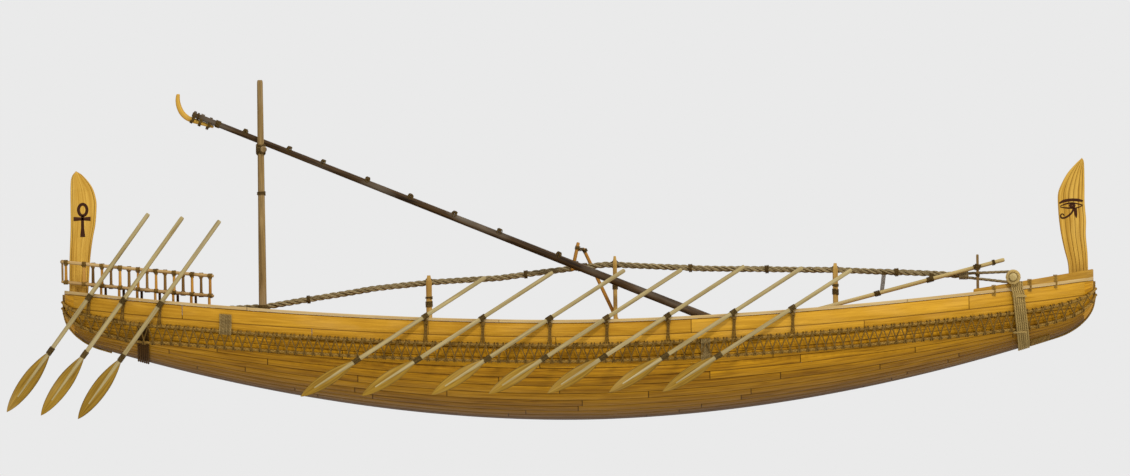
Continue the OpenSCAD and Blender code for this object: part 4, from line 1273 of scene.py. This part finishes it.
LEVER_Y = -0.055 - 0.06
LEVER_FOOT = np.array([3.5, LEVER_Y, float(deck_z(0.4 * HALF_L)) + 0.34])
LEVER_HEAD = np.array([7.24, LEVER_Y, BEAM_Z + BEAM_R + 0.23])
LEVER_R = 0.037
TWIST_X = 0.4
TWIST_Y = 0.055 + 0.025 + 0.001


def build_lever_pole():
    """Pole that keeps the truss twisted, with its stake and lashings."""
    a, along = LEVER_FOOT, LEVER_HEAD - LEVER_FOOT
    shape = Shape()
    ties = Shape()
    pole(shape, a, LEVER_HEAD, LEVER_R, 0.034, 14)
    make(shape, "truss_lever_pole", "hull", FINISH["spar_wood"], "spar_wood", "lever_pole")
    for t, width in ((0.42, 0.10), (0.66, 0.12), (0.87, 0.08), (0.95, 0.05)):
        coil(ties, a + along * t, along, LEVER_R, width, 0.008)
    for t in (0.44, 0.66):
        p = a + along * t
        target = np.array([p[0] + 0.05, 0.0, rope_z(p[0] + 0.05)])
        for i in range(4):
            shift = np.array([(i - 1.5) * 0.018, 0, 0])
            tube(ties, [p + shift + [0, 0.02, 0.0], 0.5 * (p + target) + shift + [0, 0, 0.01],
                        target + shift + [0, -0.03, 0.035]], 0.008, 5)
    shape = Shape()
    low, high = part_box("lever_stake")
    cx, cy, _ = middle("lever_stake")
    pole(shape, (cx, cy, low[2] + 0.001), (cx, cy, high[2] - 0.001), 0.0265, 0.0225, 12)
    make(shape, "truss_lever_stake", "hull", FINISH["mast_crutch_wood"], "crutch_wood", "lever_stake")
    cross_z = (a + along * ((cx - a[0]) / along[0]))[2]
    coil(ties, (cx, cy + 0.02, cross_z), (0.3, 0, 1), 0.040, 0.09, 0.009, other=0.065)
    coil(ties, (cx, cy, cross_z - 0.14), (0, 0, 1), 0.026, 0.05, 0.008)
    make(ties, "truss_lever_lashings", "hull", FINISH["lashing"], "rope")


def build_twisting_sticks():
    """Two sticks through the truss rope, lashed head to head."""
    shape = Shape()
    ties = Shape()
    x, y = TWIST_X, TWIST_Y
    tz = rope_z(x)
    dz = float(deck_z(x))
    for foot, head in (((x + 0.34, y, dz + 0.25), (x - 0.32, y, tz + 0.29)),
                       ((x - 0.51, -y, tz - 0.09), (x - 0.4, -y, tz + 0.39))):
        pole(shape, foot, head, 0.032, 0.029, 12)
    make(shape, "truss_twisting_sticks", "hull", FINISH["baluster_starboard"], "spar_wood", "truss_levers")
    px, pz = x - 0.36, rope_z(x - 0.36) + 0.30
    for lean in (-0.04, -0.02, 0.0, 0.02, 0.04):
        tube(ties, [(px + lean - 0.02, y + 0.03, pz - 0.02), (px + lean, 0, pz + 0.03),
                    (px + lean + 0.02, -y - 0.03, pz)], 0.009, 5)
    coil(ties, (x - 0.29, y, tz + 0.25), (-0.5, 0, 1), 0.030, 0.06, 0.009)
    coil(ties, (x - 0.415, -y, tz + 0.30), (0.2, 0, 1), 0.030, 0.06, 0.009)
    coil(ties, (x - 0.46, -y * 0.5, tz), (1, 0, 0), 0.062, 0.10, 0.009, other=0.085)
    make(ties, "truss_stick_lashings", "hull", FINISH["lashing"], "rope")


# ---- Mast ----
HUB_R = LEG_FOOT_R + 0.0072
HUB_RINGS = ((-0.075, 0.93), (-0.069, 1.0), (0.0, 1.0), (0.069, 1.0), (0.075, 0.93))
# Crook under the masthead: distance past the head, height of its back over the mast's line, thickness
CROOK = ((-0.42, 0, 0.046), (-0.12, 0, 0.084), (0, 0, 0.092), (0.07, 0.012, 0.096), (0.15, 0.05, 0.096),
         (0.225, 0.118, 0.09), (0.282, 0.2, 0.078), (0.318, 0.29, 0.062))
CROOK_HALF_W = 0.054


def build_mast_legs(ties):
    shape = Shape()
    for side in (-1, 1):
        ss = np.linspace(-0.06, MAST_L - 0.004, 60)
        path = [mast_point(s, side * leg_y(s), 0) for s in ss]
        radius = np.array([leg_r(max(s, 0)) for s in ss]) * 0.992
        radius[[0, 1, -1]] *= (0.6, 0.97, 0.8)
        tube(shape, path, radius, 18, wobble=0.008, tint=0.5 + 0.2 * side)
        turn = np.linspace(0, 2 * math.pi, 29)[:-1]
        rings = [np.stack([HINGE[0] + HUB_R * part * np.cos(turn), side * 0.5 + out + 0 * turn,
                           HINGE[2] + HUB_R * part * np.sin(turn)], axis=-1) for out, part in HUB_RINGS]
        loft(shape, rings, 0.0, 0.5, 0.0)
        for s, width in ((0.32, 0.08), (9.62, 0.08), (9.98, 0.04)):
            coil(ties, mast_point(s, side * leg_y(s), 0), MAST_AHEAD, leg_r(s), width, 0.009)
    make(shape, "mast_leg_poles", "mast", FINISH["mast_wood"], "mast_wood", "mast_legs")


def build_rungs(ties):
    shape = Shape()
    for s in RUNGS:
        n = leg_r(s) + 0.0263
        y = leg_y(s) + leg_r(s) * 0.6
        pole(shape, mast_point(s, y, n), mast_point(s, -y, n), 0.0257, 0.0257, 12)
        for side in (-1, 1):
            centre = mast_point(s, side * leg_y(s), 0.5 * n)
            for lean in (-0.5, 0.5):
                coil(ties, centre, MAST_AHEAD + np.array([0, lean, 0]), leg_r(s) * 0.5 + 0.030, 0.05, 0.006,
                     turns=2.5, other=leg_r(s) + 0.004)
    make(shape, "mast_rung_poles", "mast", FINISH["mast_wood"], "mast_wood", "mast_rungs")


def build_crook(ties):
    """Curved piece lashed under the masthead."""
    drop = math.sqrt(LEG_HEAD_R ** 2 - max(0.0, HEAD_Y - 0.055) ** 2) + 0.0012
    curve = smooth_path([(u, v, t * 10) for u, v, t in CROOK], 0.03)
    ahead = np.gradient(curve[:, :2], axis=0)
    ahead = ahead / np.linalg.norm(ahead, axis=1)[:, None]
    rings = []
    for i, (u, v, t10) in enumerate(curve):
        ease = 0.7 if i in (0, len(curve) - 1) else 1.0
        t = 0.05 * t10
        mid_s = MAST_L + u + t * ahead[i, 1]
        mid_n = v - drop - t * ahead[i, 0]
        ring = []
        for turn in 2 * math.pi * (np.arange(12) + 0.5) / 12:
            cs, sn = math.cos(turn), math.sin(turn)
            y = CROOK_HALF_W * ease * math.copysign(abs(cs) ** 0.6, cs)
            off = 0.99 * t * ease * math.copysign(abs(sn) ** 0.6, sn)
            ring.append(mast_point(mid_s - ahead[i, 1] * off, y, mid_n + ahead[i, 0] * off))
        rings.append(ring)
    shape = Shape()
    loft(shape, rings, 0.0, 0.7, 0.0)
    make(shape, "mast_head_crook", "mast", FINISH["carved_wood"], "crutch_wood", "mast_head")
    for s in (-0.33, -0.18, -0.04):
        coil(ties, mast_point(MAST_L + s, 0, -0.044), MAST_AHEAD, 0.100, 0.05, 0.008,
             other=HEAD_Y + LEG_HEAD_R + 0.004, turns=3)


def build_mast():
    ties = Shape()
    build_mast_legs(ties)
    build_rungs(ties)
    build_crook(ties)
    make(ties, "mast_lashings", "mast", FINISH["lashing"], "rope")


POST_Y = 0.345
POST_FOOT_R = 0.0712
POST_HEAD_R = 0.0503
BAR_R = 0.0592


def build_mast_crutch():
    low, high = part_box("mast_crutch")
    s = (HINGE[0] + 0.6046 * HALF_L) / math.cos(MAST_REST)
    bar = mast_point(s, 0, -leg_r(s) - 0.06 - 0.0004)
    x = bar[0] - 0.045
    shape = Shape()
    ties = Shape()
    for y in (-POST_Y, POST_Y):
        pole(shape, (x, y, low[2] + 0.001), (x, y, high[2] - 0.001), POST_FOOT_R, POST_HEAD_R, 18,
             swell=0.006)
        for lean in (-0.6, 0.6):
            coil(ties, (x, y, bar[2]), (0, lean, 1), 0.066, 0.16, 0.010, other=0.075)
        for z in (low[2] + 0.5, bar[2] - 0.75):
            r = POST_FOOT_R + (POST_HEAD_R - POST_FOOT_R) * (z - low[2]) / (high[2] - low[2])
            coil(ties, (x, y, z), (0, 0, 1), r, 0.06, 0.009)
    pole(shape, (bar[0], -high[1] + 0.001, bar[2]), (bar[0], high[1] - 0.001, bar[2]), BAR_R, BAR_R, 16)
    make(shape, "mast_crutch_poles", "hull", FINISH["mast_crutch_wood"], "crutch_wood", "mast_crutch")
    make(ties, "mast_crutch_lashings", "hull", FINISH["lashing"], "rope")


def build_mast_step():
    """Two blocks hollowed to take the hubs of the mast's legs."""
    shape = Shape()
    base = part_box("mast_step")[0][2] + 0.001
    top = HINGE[2] - 0.078 - 0.001
    xs = np.linspace(HINGE[0] - 0.083, HINGE[0] + 0.083, 21)
    u = xs - HINGE[0]
    dish = HINGE[2] - np.sqrt(np.maximum(0.0, (LEG_FOOT_R + 0.0095) ** 2 - u ** 2))
    heights = np.where(np.abs(u) < 0.0617, np.minimum(dish, top), top)
    eases = np.where(np.abs(u) > 0.08, 0.006, 0.0)
    for side in (-1, 1):
        y0, y1 = side * 0.5 - 0.129, side * 0.5 + 0.129
        rings = [[(x, y0 + e, base), (x, y0 + e, z - 0.008), (x, y0 + 0.008 + e, z - e),
                  (x, y1 - 0.008 - e, z - e), (x, y1 - e, z - 0.008), (x, y1 - e, base)]
                 for x, z, e in zip(xs, heights, eases)]
        loft(shape, rings, 0.0, 0.4, 0.0)
    make(shape, "mast_step_blocks", "hull", FINISH["spar_wood"], "spar_wood", "mast_step")


# ---- Oars ----
BLADE_EDGE = [(0.0, 0.08), (0.16, 0.30), (0.34, 0.46), (0.5, 0.5), (0.66, 0.46), (0.82, 0.33), (0.94, 0.15),
              (1.0, 0.0)]
BLADE_T = 0.034
# Marks across a blade's face: share of its half width, share of its thickness and darkness of the edge
BLADE_FACE = ((-1, 0.10, 0.75), (-0.96, 0.34, 0.75), (-0.82, 0.52, 0.25), (-0.45, 0.72, 0.0),
              (0.0, 0.94, 0.0), (0.45, 0.72, 0.0), (0.82, 0.52, 0.25), (0.96, 0.34, 0.75), (1, 0.10, 0.75))
BLADE_BACK = BLADE_FACE[-2:0:-1]
# Radius of the shaft, length and width of the blade
ROWING_SIZES = (0.036, 1.13, 0.23)
ROWING_SLOPE, ROWING_TRAIL = math.radians(31.5), math.radians(12)
ROWING_DIP = 0.48
STEERING_SIZES = (0.038, 1.26, 0.27)
STEERING_SLOPE = math.radians(53.7)
STEERING_ABOVE, STEERING_BELOW = 1.75, 2.4


def oar(name, node, place, above, below, r, blade_l, blade_w):
    """Oar along its own X axis, set in place by a function from its own points to the frame's."""
    shape = Shape()
    root = below - blade_l
    xs = np.unique(np.concatenate([[-above + v for v in (0.001, 0.012, 0.035, 0.06)],
                                   np.linspace(-above + 0.2, root + 0.06, 12),
                                   root + 0.06 + np.linspace(0, 1, 10) ** 1.3 * blade_l * 0.70]))
    radius = np.interp(xs, [-above, -above + 0.06, root + 0.06, root + 0.06 + blade_l * 0.7],
                       [r * 0.97, r, r * 0.985, BLADE_T / 2 - 0.0012])
    radius[0] *= 0.7
    radius[1] *= 0.93
    path = place(np.stack([xs, 0 * xs, 0 * xs], axis=-1))
    tube(shape, path, radius, 14, tint=0.9, wobble=0.006)
    t = np.concatenate([[0.0, 0.02], np.linspace(0.06, 0.97, 26), [0.985, 0.997]])
    curve = smooth_path([(a, w, 0) for a, w in BLADE_EDGE], 0.01)
    half = np.interp(t, curve[:, 0], curve[:, 1]) * blade_w
    half = np.maximum(half, 0.003)
    half[0] = r * 0.66
    thick = BLADE_T / 2 * np.interp(t, [0, 0.05, 0.8, 1.0], [1.0, 1.0, 0.75, 0.35])
    marks = [(-1, mark) for mark in BLADE_FACE] + [(1, mark) for mark in BLADE_BACK]
    rings = [np.stack([root + t * blade_l, face * thick * deep, across * half], axis=-1)
             for face, (across, deep, _) in marks]
    rings = place(np.stack(rings, axis=1).reshape(-1, 3)).reshape(len(t), len(marks), 3)
    seam = np.broadcast_to(np.array([mark[2] for _, mark in marks]), (len(t), len(marks)))
    make(shape, name + "_shaft", node, FINISH["oar_wood"], "oar_wood", node)
    blade = Shape()
    around = np.array([0, 1, 4, 12, 22, 32, 40, 43, 44, 43, 40, 32, 22, 12, 4, 1]) * 0.005
    loft(blade, rings, seam, 0.25, 0.0, around)
    make(blade, name + "_blade", node, FINISH["blade_wood"], "oar_wood")
    ties = Shape()
    along = place(np.array([[1.0, 0, 0]]))[0] - place(np.array([[0.0, 0, 0]]))[0]
    for s, width in ((0.0, 0.11), (root - 0.02, 0.14)):
        coil(ties, place(np.array([[s, 0.0, 0.0]]))[0], along, np.interp(s, xs, radius), width, 0.007)
    make(ties, name + "_lashing", node, FINISH["lashing"], "rope")


def row_pivot(i):
    x = ROWING[i][0] * HALF_L
    return np.array([x, -(float(half_b(x)) + 0.071), float(rail_z(x)) + 0.02])


def steer_pivot(i):
    x = STEERING[i] * HALF_L
    return np.array([x, -(float(half_b(x + 0.12)) + 0.059), float(sheer_z(x)) - 0.02])


def placer(pivot, along, over, side):
    """Function that puts an oar's own points (along, flat side, blade width) into the frame."""
    along = np.array(along, float)
    over = np.array(over, float)
    flat = np.cross(over, along)

    def place(points):
        out = pivot + points[:, 0:1] * along + points[:, 1:2] * flat + points[:, 2:3] * over
        return on_side(out, side)
    return place


def build_rowing_oars():
    flat, sink = math.cos(ROWING_SLOPE), math.sin(ROWING_SLOPE)
    aft, out = math.cos(ROWING_TRAIL), math.sin(ROWING_TRAIL)
    along = (-flat * aft, -flat * out, -sink)
    over = (-sink * aft, -sink * out, flat)
    for name, side in SIDES:
        for i, (_, above) in enumerate(ROWING):
            pivot = row_pivot(i)
            below = (pivot[2] + ROWING_DIP) / sink
            oar(f"row_oar_{name}_{i + 1}", f"rowing_oar_{name}_{i + 1}",
                placer(pivot, along, over, side), above, below, *ROWING_SIZES)


def build_steering_oars():
    flat, sink = math.cos(STEERING_SLOPE), math.sin(STEERING_SLOPE)
    for name, side in SIDES:
        for i in range(len(STEERING)):
            place = placer(steer_pivot(i), (-flat, 0.0, -sink), (-sink, 0.0, flat), side)
            oar(f"steer_oar_{name}_{i + 1}", f"steering_oar_{name}_{i + 1}", place,
                STEERING_ABOVE, STEERING_BELOW, *STEERING_SIZES)


TIE_SHIFTS = (-0.018, 0.0, 0.018)


def tie(shape, pivot, drop, side):
    """Ropes from the upper girdle rope over the gunwale to an oar's pivot."""
    x = pivot[0]
    start = girdle_point(x, 0.365, 0.04)
    gunwale = np.array([x + 0.01, -(float(half_b(x)) + 0.030), float(sheer_z(x)) - 0.03])
    end = pivot + np.array([0.0, 0.008, -drop])
    for shift in TIE_SHIFTS:
        path = [start + [shift * 1.8, 0, 0], 0.5 * (start + gunwale) + [shift, -0.004, 0],
                gunwale + [shift, 0, 0], end + [shift * 0.4, 0, 0]]
        tube(shape, on_side(smooth_path(path, 0.04), side), 0.0085, 5, strands=2, pitch=0.06)
    knot = on_side(gunwale + [0, -0.004, 0], side)
    coil(shape, knot, (0, 0, 1), 0.026, 0.05, 0.009, other=0.014, turns=2.5)


def build_ties():
    for label, pivot_of, spots, drop in (("oar", row_pivot, ROWING, 0.047),
                                         ("steering", steer_pivot, STEERING, 0.028)):
        shape = Shape()
        for i in range(len(spots)):
            for side in (-1, 1):
                tie(shape, pivot_of(i), drop, side)
        make(shape, label + "_tie_ropes", "hull", FINISH["lacing"], "rope", label + "_ties")


# ---- Stage ----
# Suns: name, setting of its strength, softness and turn in degrees
SUNS = (("Key light", "key_light", 6, (50, 0, 14)), ("Fill light", "fill_light", 40, (75, 0, 55)),
        ("Low light", "low_light", 50, (118, 0, -10)), ("Back light", "back_light", 30, (60, 0, 160)))
BACKDROP = (234, 234, 234)
FLOOR_COLOUR = (226, 226, 224)
FLOOR_HALF = 60.0


def add_world(scene):
    world = bpy.data.worlds.new("Soft studio")
    world.use_nodes = True
    background = world.node_tree.nodes["Background"].inputs
    background["Color"].default_value = rgb(*BACKDROP)
    background["Strength"].default_value = 1.0
    scene.world = world


def add_camera(scene, look):
    data = bpy.data.cameras.new("Side view")
    data.type = "ORTHO"
    data.ortho_scale = look.view_width
    data.clip_end = 300
    camera = bpy.data.objects.new("Side view", data)
    scene.collection.objects.link(camera)
    level = Matrix.Rotation(math.radians(90), 4, "X")
    roll = Matrix.Rotation(math.radians(look.view_roll), 4, "Z")
    camera.matrix_world = Matrix.Translation((look.view_x, -40, look.view_z)) @ level @ roll
    scene.camera = camera


def add_suns(scene, look):
    for name, strength, softness, angles in SUNS:
        sun = bpy.data.lights.new(name, "SUN")
        sun.energy = getattr(look, strength)
        sun.angle = math.radians(softness)
        lamp = bpy.data.objects.new(name, sun)
        lamp.rotation_euler = [math.radians(v) for v in angles]
        scene.collection.objects.link(lamp)


def add_floor(scene):
    mesh = bpy.data.meshes.new("Floor")
    corners = [(x * FLOOR_HALF, y * FLOOR_HALF, 0) for x, y in ((-1, -1), (1, -1), (1, 1), (-1, 1))]
    mesh.from_pydata(corners, [], [(0, 1, 2, 3)])
    floor = bpy.data.objects.new("Floor", mesh)
    material = bpy.data.materials.new("Pale floor")
    material.use_nodes = True
    shader = material.node_tree.nodes["Principled BSDF"]
    shader.inputs["Base Color"].default_value = rgb(*FLOOR_COLOUR)
    shader.inputs["Roughness"].default_value = 0.9
    mesh.materials.append(material)
    floor.visible_shadow = False
    floor.visible_diffuse = False
    floor.visible_glossy = False
    scene.collection.objects.link(floor)


def build_stage(look):
    scene = bpy.context.scene
    scene.view_settings.view_transform = "Standard"
    add_world(scene)
    add_camera(scene, look)
    add_suns(scene, look)
    add_floor(scene)


# ---- Settings ----
def colour(name, text, value):
    return bpy.props.FloatVectorProperty(name=name, description=text, default=rgb(*value)[:3],
                                         subtype="COLOR",
                                         size=3, min=0, max=1)


def length(name, text, value):
    return bpy.props.FloatProperty(name=name, description=text, default=value, subtype="DISTANCE",
                                   unit="LENGTH")


def number(name, text, value):
    return bpy.props.FloatProperty(name=name, description=text, default=value)


class ShipSizes(bpy.types.PropertyGroup):
    """Sizes of the planks and ropes."""
    rows: bpy.props.IntProperty(name="Plank rows", description="Rows of planks below the sheer strake",
                                default=12)
    plank_length: length("Plank length", "Usual length of one plank of the skin", 3.4)
    board_width: length("Deck board width", "Width of one deck board", 0.23)
    lacing_step: length("Lacing step", "Distance between turns of the girdle's lacing", 0.15)
    truss_pitch: length("Truss pitch", "Length of one turn of the truss rope's strands", 0.40)


class ShipColours(bpy.types.PropertyGroup):
    """Main colours of the wood and rope."""
    hull_light: colour("Hull, light", "Pale grain of the hull planks", (204, 146, 20))
    hull_dark: colour("Hull, dark", "Dark grain of the hull planks", (132, 86, 2))
    strake_light: colour("Sheer strake, light", "Pale grain of the top planks", (206, 154, 42))
    strake_dark: colour("Sheer strake, dark", "Dark grain of the top planks", (152, 104, 14))
    rope_light: colour("Rope, light", "Pale fibre of the ropes", (176, 150, 98))


class ShipStage(bpy.types.PropertyGroup):
    """Camera and lights."""
    view_width: length("View width", "Width that the camera takes in", 19.21)
    view_x: length("View X", "Middle of the view along the ship", -0.226)
    view_z: length("View Z", "Middle of the view above the waterline", 2.157)
    view_roll: number("View roll", "Turn of the camera about its line of sight, in degrees", -0.76)
    key_light: number("Key light", "Strength of the sun from above", 1.6)
    fill_light: number("Fill light", "Strength of the soft side light", 0.5)
    low_light: number("Low light", "Strength of the light from below", 0.05)
    back_light: number("Back light", "Strength of the light from behind", 1.0)


class Settings:
    """The three property groups of a scene, read as one."""

    def __init__(self, scene):
        self.groups = (scene.ship_sizes, scene.ship_colours, scene.ship_stage)

    def __getattr__(self, name):
        for some in self.groups:
            if name in some.bl_rna.properties:
                return getattr(some, name)
        raise AttributeError(name)


# ---- Operators ----
class SHIP_OT_finishes(bpy.types.Operator):
    """Make the wood and rope materials"""
    bl_idname = "ship.finishes"
    bl_label = "Finishes"

    def execute(self, context):
        make_finishes(Settings(context.scene))
        return {"FINISHED"}


class SHIP_OT_stage(bpy.types.Operator):
    """Make the camera, lights and floor"""
    bl_idname = "ship.stage"
    bl_label = "Stage"

    def execute(self, context):
        build_stage(Settings(context.scene))
        return {"FINISHED"}


class SHIP_OT_planking(bpy.types.Operator):
    """Lay the planks of the hull and its ends"""
    bl_idname = "ship.planking"
    bl_label = "Hull planking"

    def execute(self, context):
        build_planking(Settings(context.scene))
        build_ends()
        return {"FINISHED"}


class SHIP_OT_sheer(bpy.types.Operator):
    """Lay the top planks of each side"""
    bl_idname = "ship.sheer"
    bl_label = "Sheer strakes"

    def execute(self, context):
        build_sheer()
        return {"FINISHED"}


class SHIP_OT_gunwales(bpy.types.Operator):
    """Lay the gunwale rails and the bow caps"""
    bl_idname = "ship.gunwales"
    bl_label = "Gunwales"

    def execute(self, context):
        build_gunwales()
        build_bow_caps()
        return {"FINISHED"}


class SHIP_OT_deck(bpy.types.Operator):
    """Lay the deck boards"""
    bl_idname = "ship.deck"
    bl_label = "Deck"

    def execute(self, context):
        build_deck(Settings(context.scene))
        return {"FINISHED"}


class SHIP_OT_boards(bpy.types.Operator):
    """Carve the bow and stern boards with their eye and ankh"""
    bl_idname = "ship.boards"
    bl_label = "Carved boards"

    def execute(self, context):
        build_bow_board()
        build_stern_board()
        return {"FINISHED"}


class SHIP_OT_railing(bpy.types.Operator):
    """Lash the railing and lay the platform inside it"""
    bl_idname = "ship.railing"
    bl_label = "Stern railing"

    def execute(self, context):
        for name, side in SIDES:
            build_side_railing(name, side)
        build_aft_railing()
        build_platform()
        return {"FINISHED"}


class SHIP_OT_girdle(bpy.types.Operator):
    """Lay the girdle ropes with their lacing and bands"""
    bl_idname = "ship.girdle"
    bl_label = "Girdle"

    def execute(self, context):
        build_girdle_ropes()
        build_lacing(Settings(context.scene).lacing_step)
        build_bands()
        build_stem_lashings()
        return {"FINISHED"}


class SHIP_OT_belts(bpy.types.Operator):
    """Wind the rope belts round the hull"""
    bl_idname = "ship.belts"
    bl_label = "Belts"

    def execute(self, context):
        build_stern_belt()
        build_bow_belt()
        return {"FINISHED"}


class SHIP_OT_truss(bpy.types.Operator):
    """Lay the truss rope over its forked posts"""
    bl_idname = "ship.truss"
    bl_label = "Hogging truss"

    def execute(self, context):
        build_truss(Settings(context.scene))
        build_crutches()
        build_crossbeams()
        return {"FINISHED"}


class SHIP_OT_levers(bpy.types.Operator):
    """Lash the pole and sticks that tighten the truss"""
    bl_idname = "ship.levers"
    bl_label = "Truss levers"

    def execute(self, context):
        build_lever_pole()
        build_twisting_sticks()
        return {"FINISHED"}


class SHIP_OT_mast(bpy.types.Operator):
    """Build the lowered mast with its crutch and step"""
    bl_idname = "ship.mast"
    bl_label = "Mast"

    def execute(self, context):
        build_mast()
        build_mast_crutch()
        build_mast_step()
        return {"FINISHED"}


class SHIP_OT_rowing_oars(bpy.types.Operator):
    """Make the rowing oars of both sides"""
    bl_idname = "ship.rowing_oars"
    bl_label = "Rowing oars"

    def execute(self, context):
        build_rowing_oars()
        return {"FINISHED"}


class SHIP_OT_steering_oars(bpy.types.Operator):
    """Make the steering oars of both sides"""
    bl_idname = "ship.steering_oars"
    bl_label = "Steering oars"

    def execute(self, context):
        build_steering_oars()
        return {"FINISHED"}


class SHIP_OT_ties(bpy.types.Operator):
    """Tie the oars to the girdle"""
    bl_idname = "ship.ties"
    bl_label = "Oar ties"

    def execute(self, context):
        build_ties()
        return {"FINISHED"}


OPERATORS = (
    SHIP_OT_finishes,
    SHIP_OT_stage,
    SHIP_OT_planking,
    SHIP_OT_sheer,
    SHIP_OT_gunwales,
    SHIP_OT_deck,
    SHIP_OT_boards,
    SHIP_OT_railing,
    SHIP_OT_girdle,
    SHIP_OT_belts,
    SHIP_OT_truss,
    SHIP_OT_levers,
    SHIP_OT_mast,
    SHIP_OT_rowing_oars,
    SHIP_OT_steering_oars,
    SHIP_OT_ties,
)


class SHIP_PT_panel(bpy.types.Panel):
    """Lists the steps that build the ship, and their settings"""
    bl_idname = "SHIP_PT_panel"
    bl_label = "Rope-trussed ship"
    bl_space_type = "VIEW_3D"
    bl_region_type = "UI"
    bl_category = "Ship"

    def draw(self, context):
        for group_name in GROUPS:
            box = self.layout.box()
            settings = getattr(context.scene, group_name)
            for name in settings.bl_rna.properties.keys():
                if name not in ("rna_type", "name"):
                    box.prop(settings, name)
        for step in OPERATORS:
            self.layout.operator(step.bl_idname)


GROUPS = {"ship_sizes": ShipSizes, "ship_colours": ShipColours, "ship_stage": ShipStage}


def register():
    for cls in (*GROUPS.values(), *OPERATORS, SHIP_PT_panel):
        bpy.utils.register_class(cls)
    for name, cls in GROUPS.items():
        setattr(bpy.types.Scene, name, bpy.props.PointerProperty(type=cls))


def unregister():
    for name in GROUPS:
        delattr(bpy.types.Scene, name)
    for cls in (SHIP_PT_panel, *reversed(OPERATORS), *reversed(list(GROUPS.values()))):
        bpy.utils.unregister_class(cls)


def main():
    register()
    for step in OPERATORS:
        area, name = step.bl_idname.split(".")
        getattr(getattr(bpy.ops, area), name)()


if __name__ == "__main__":
    main()
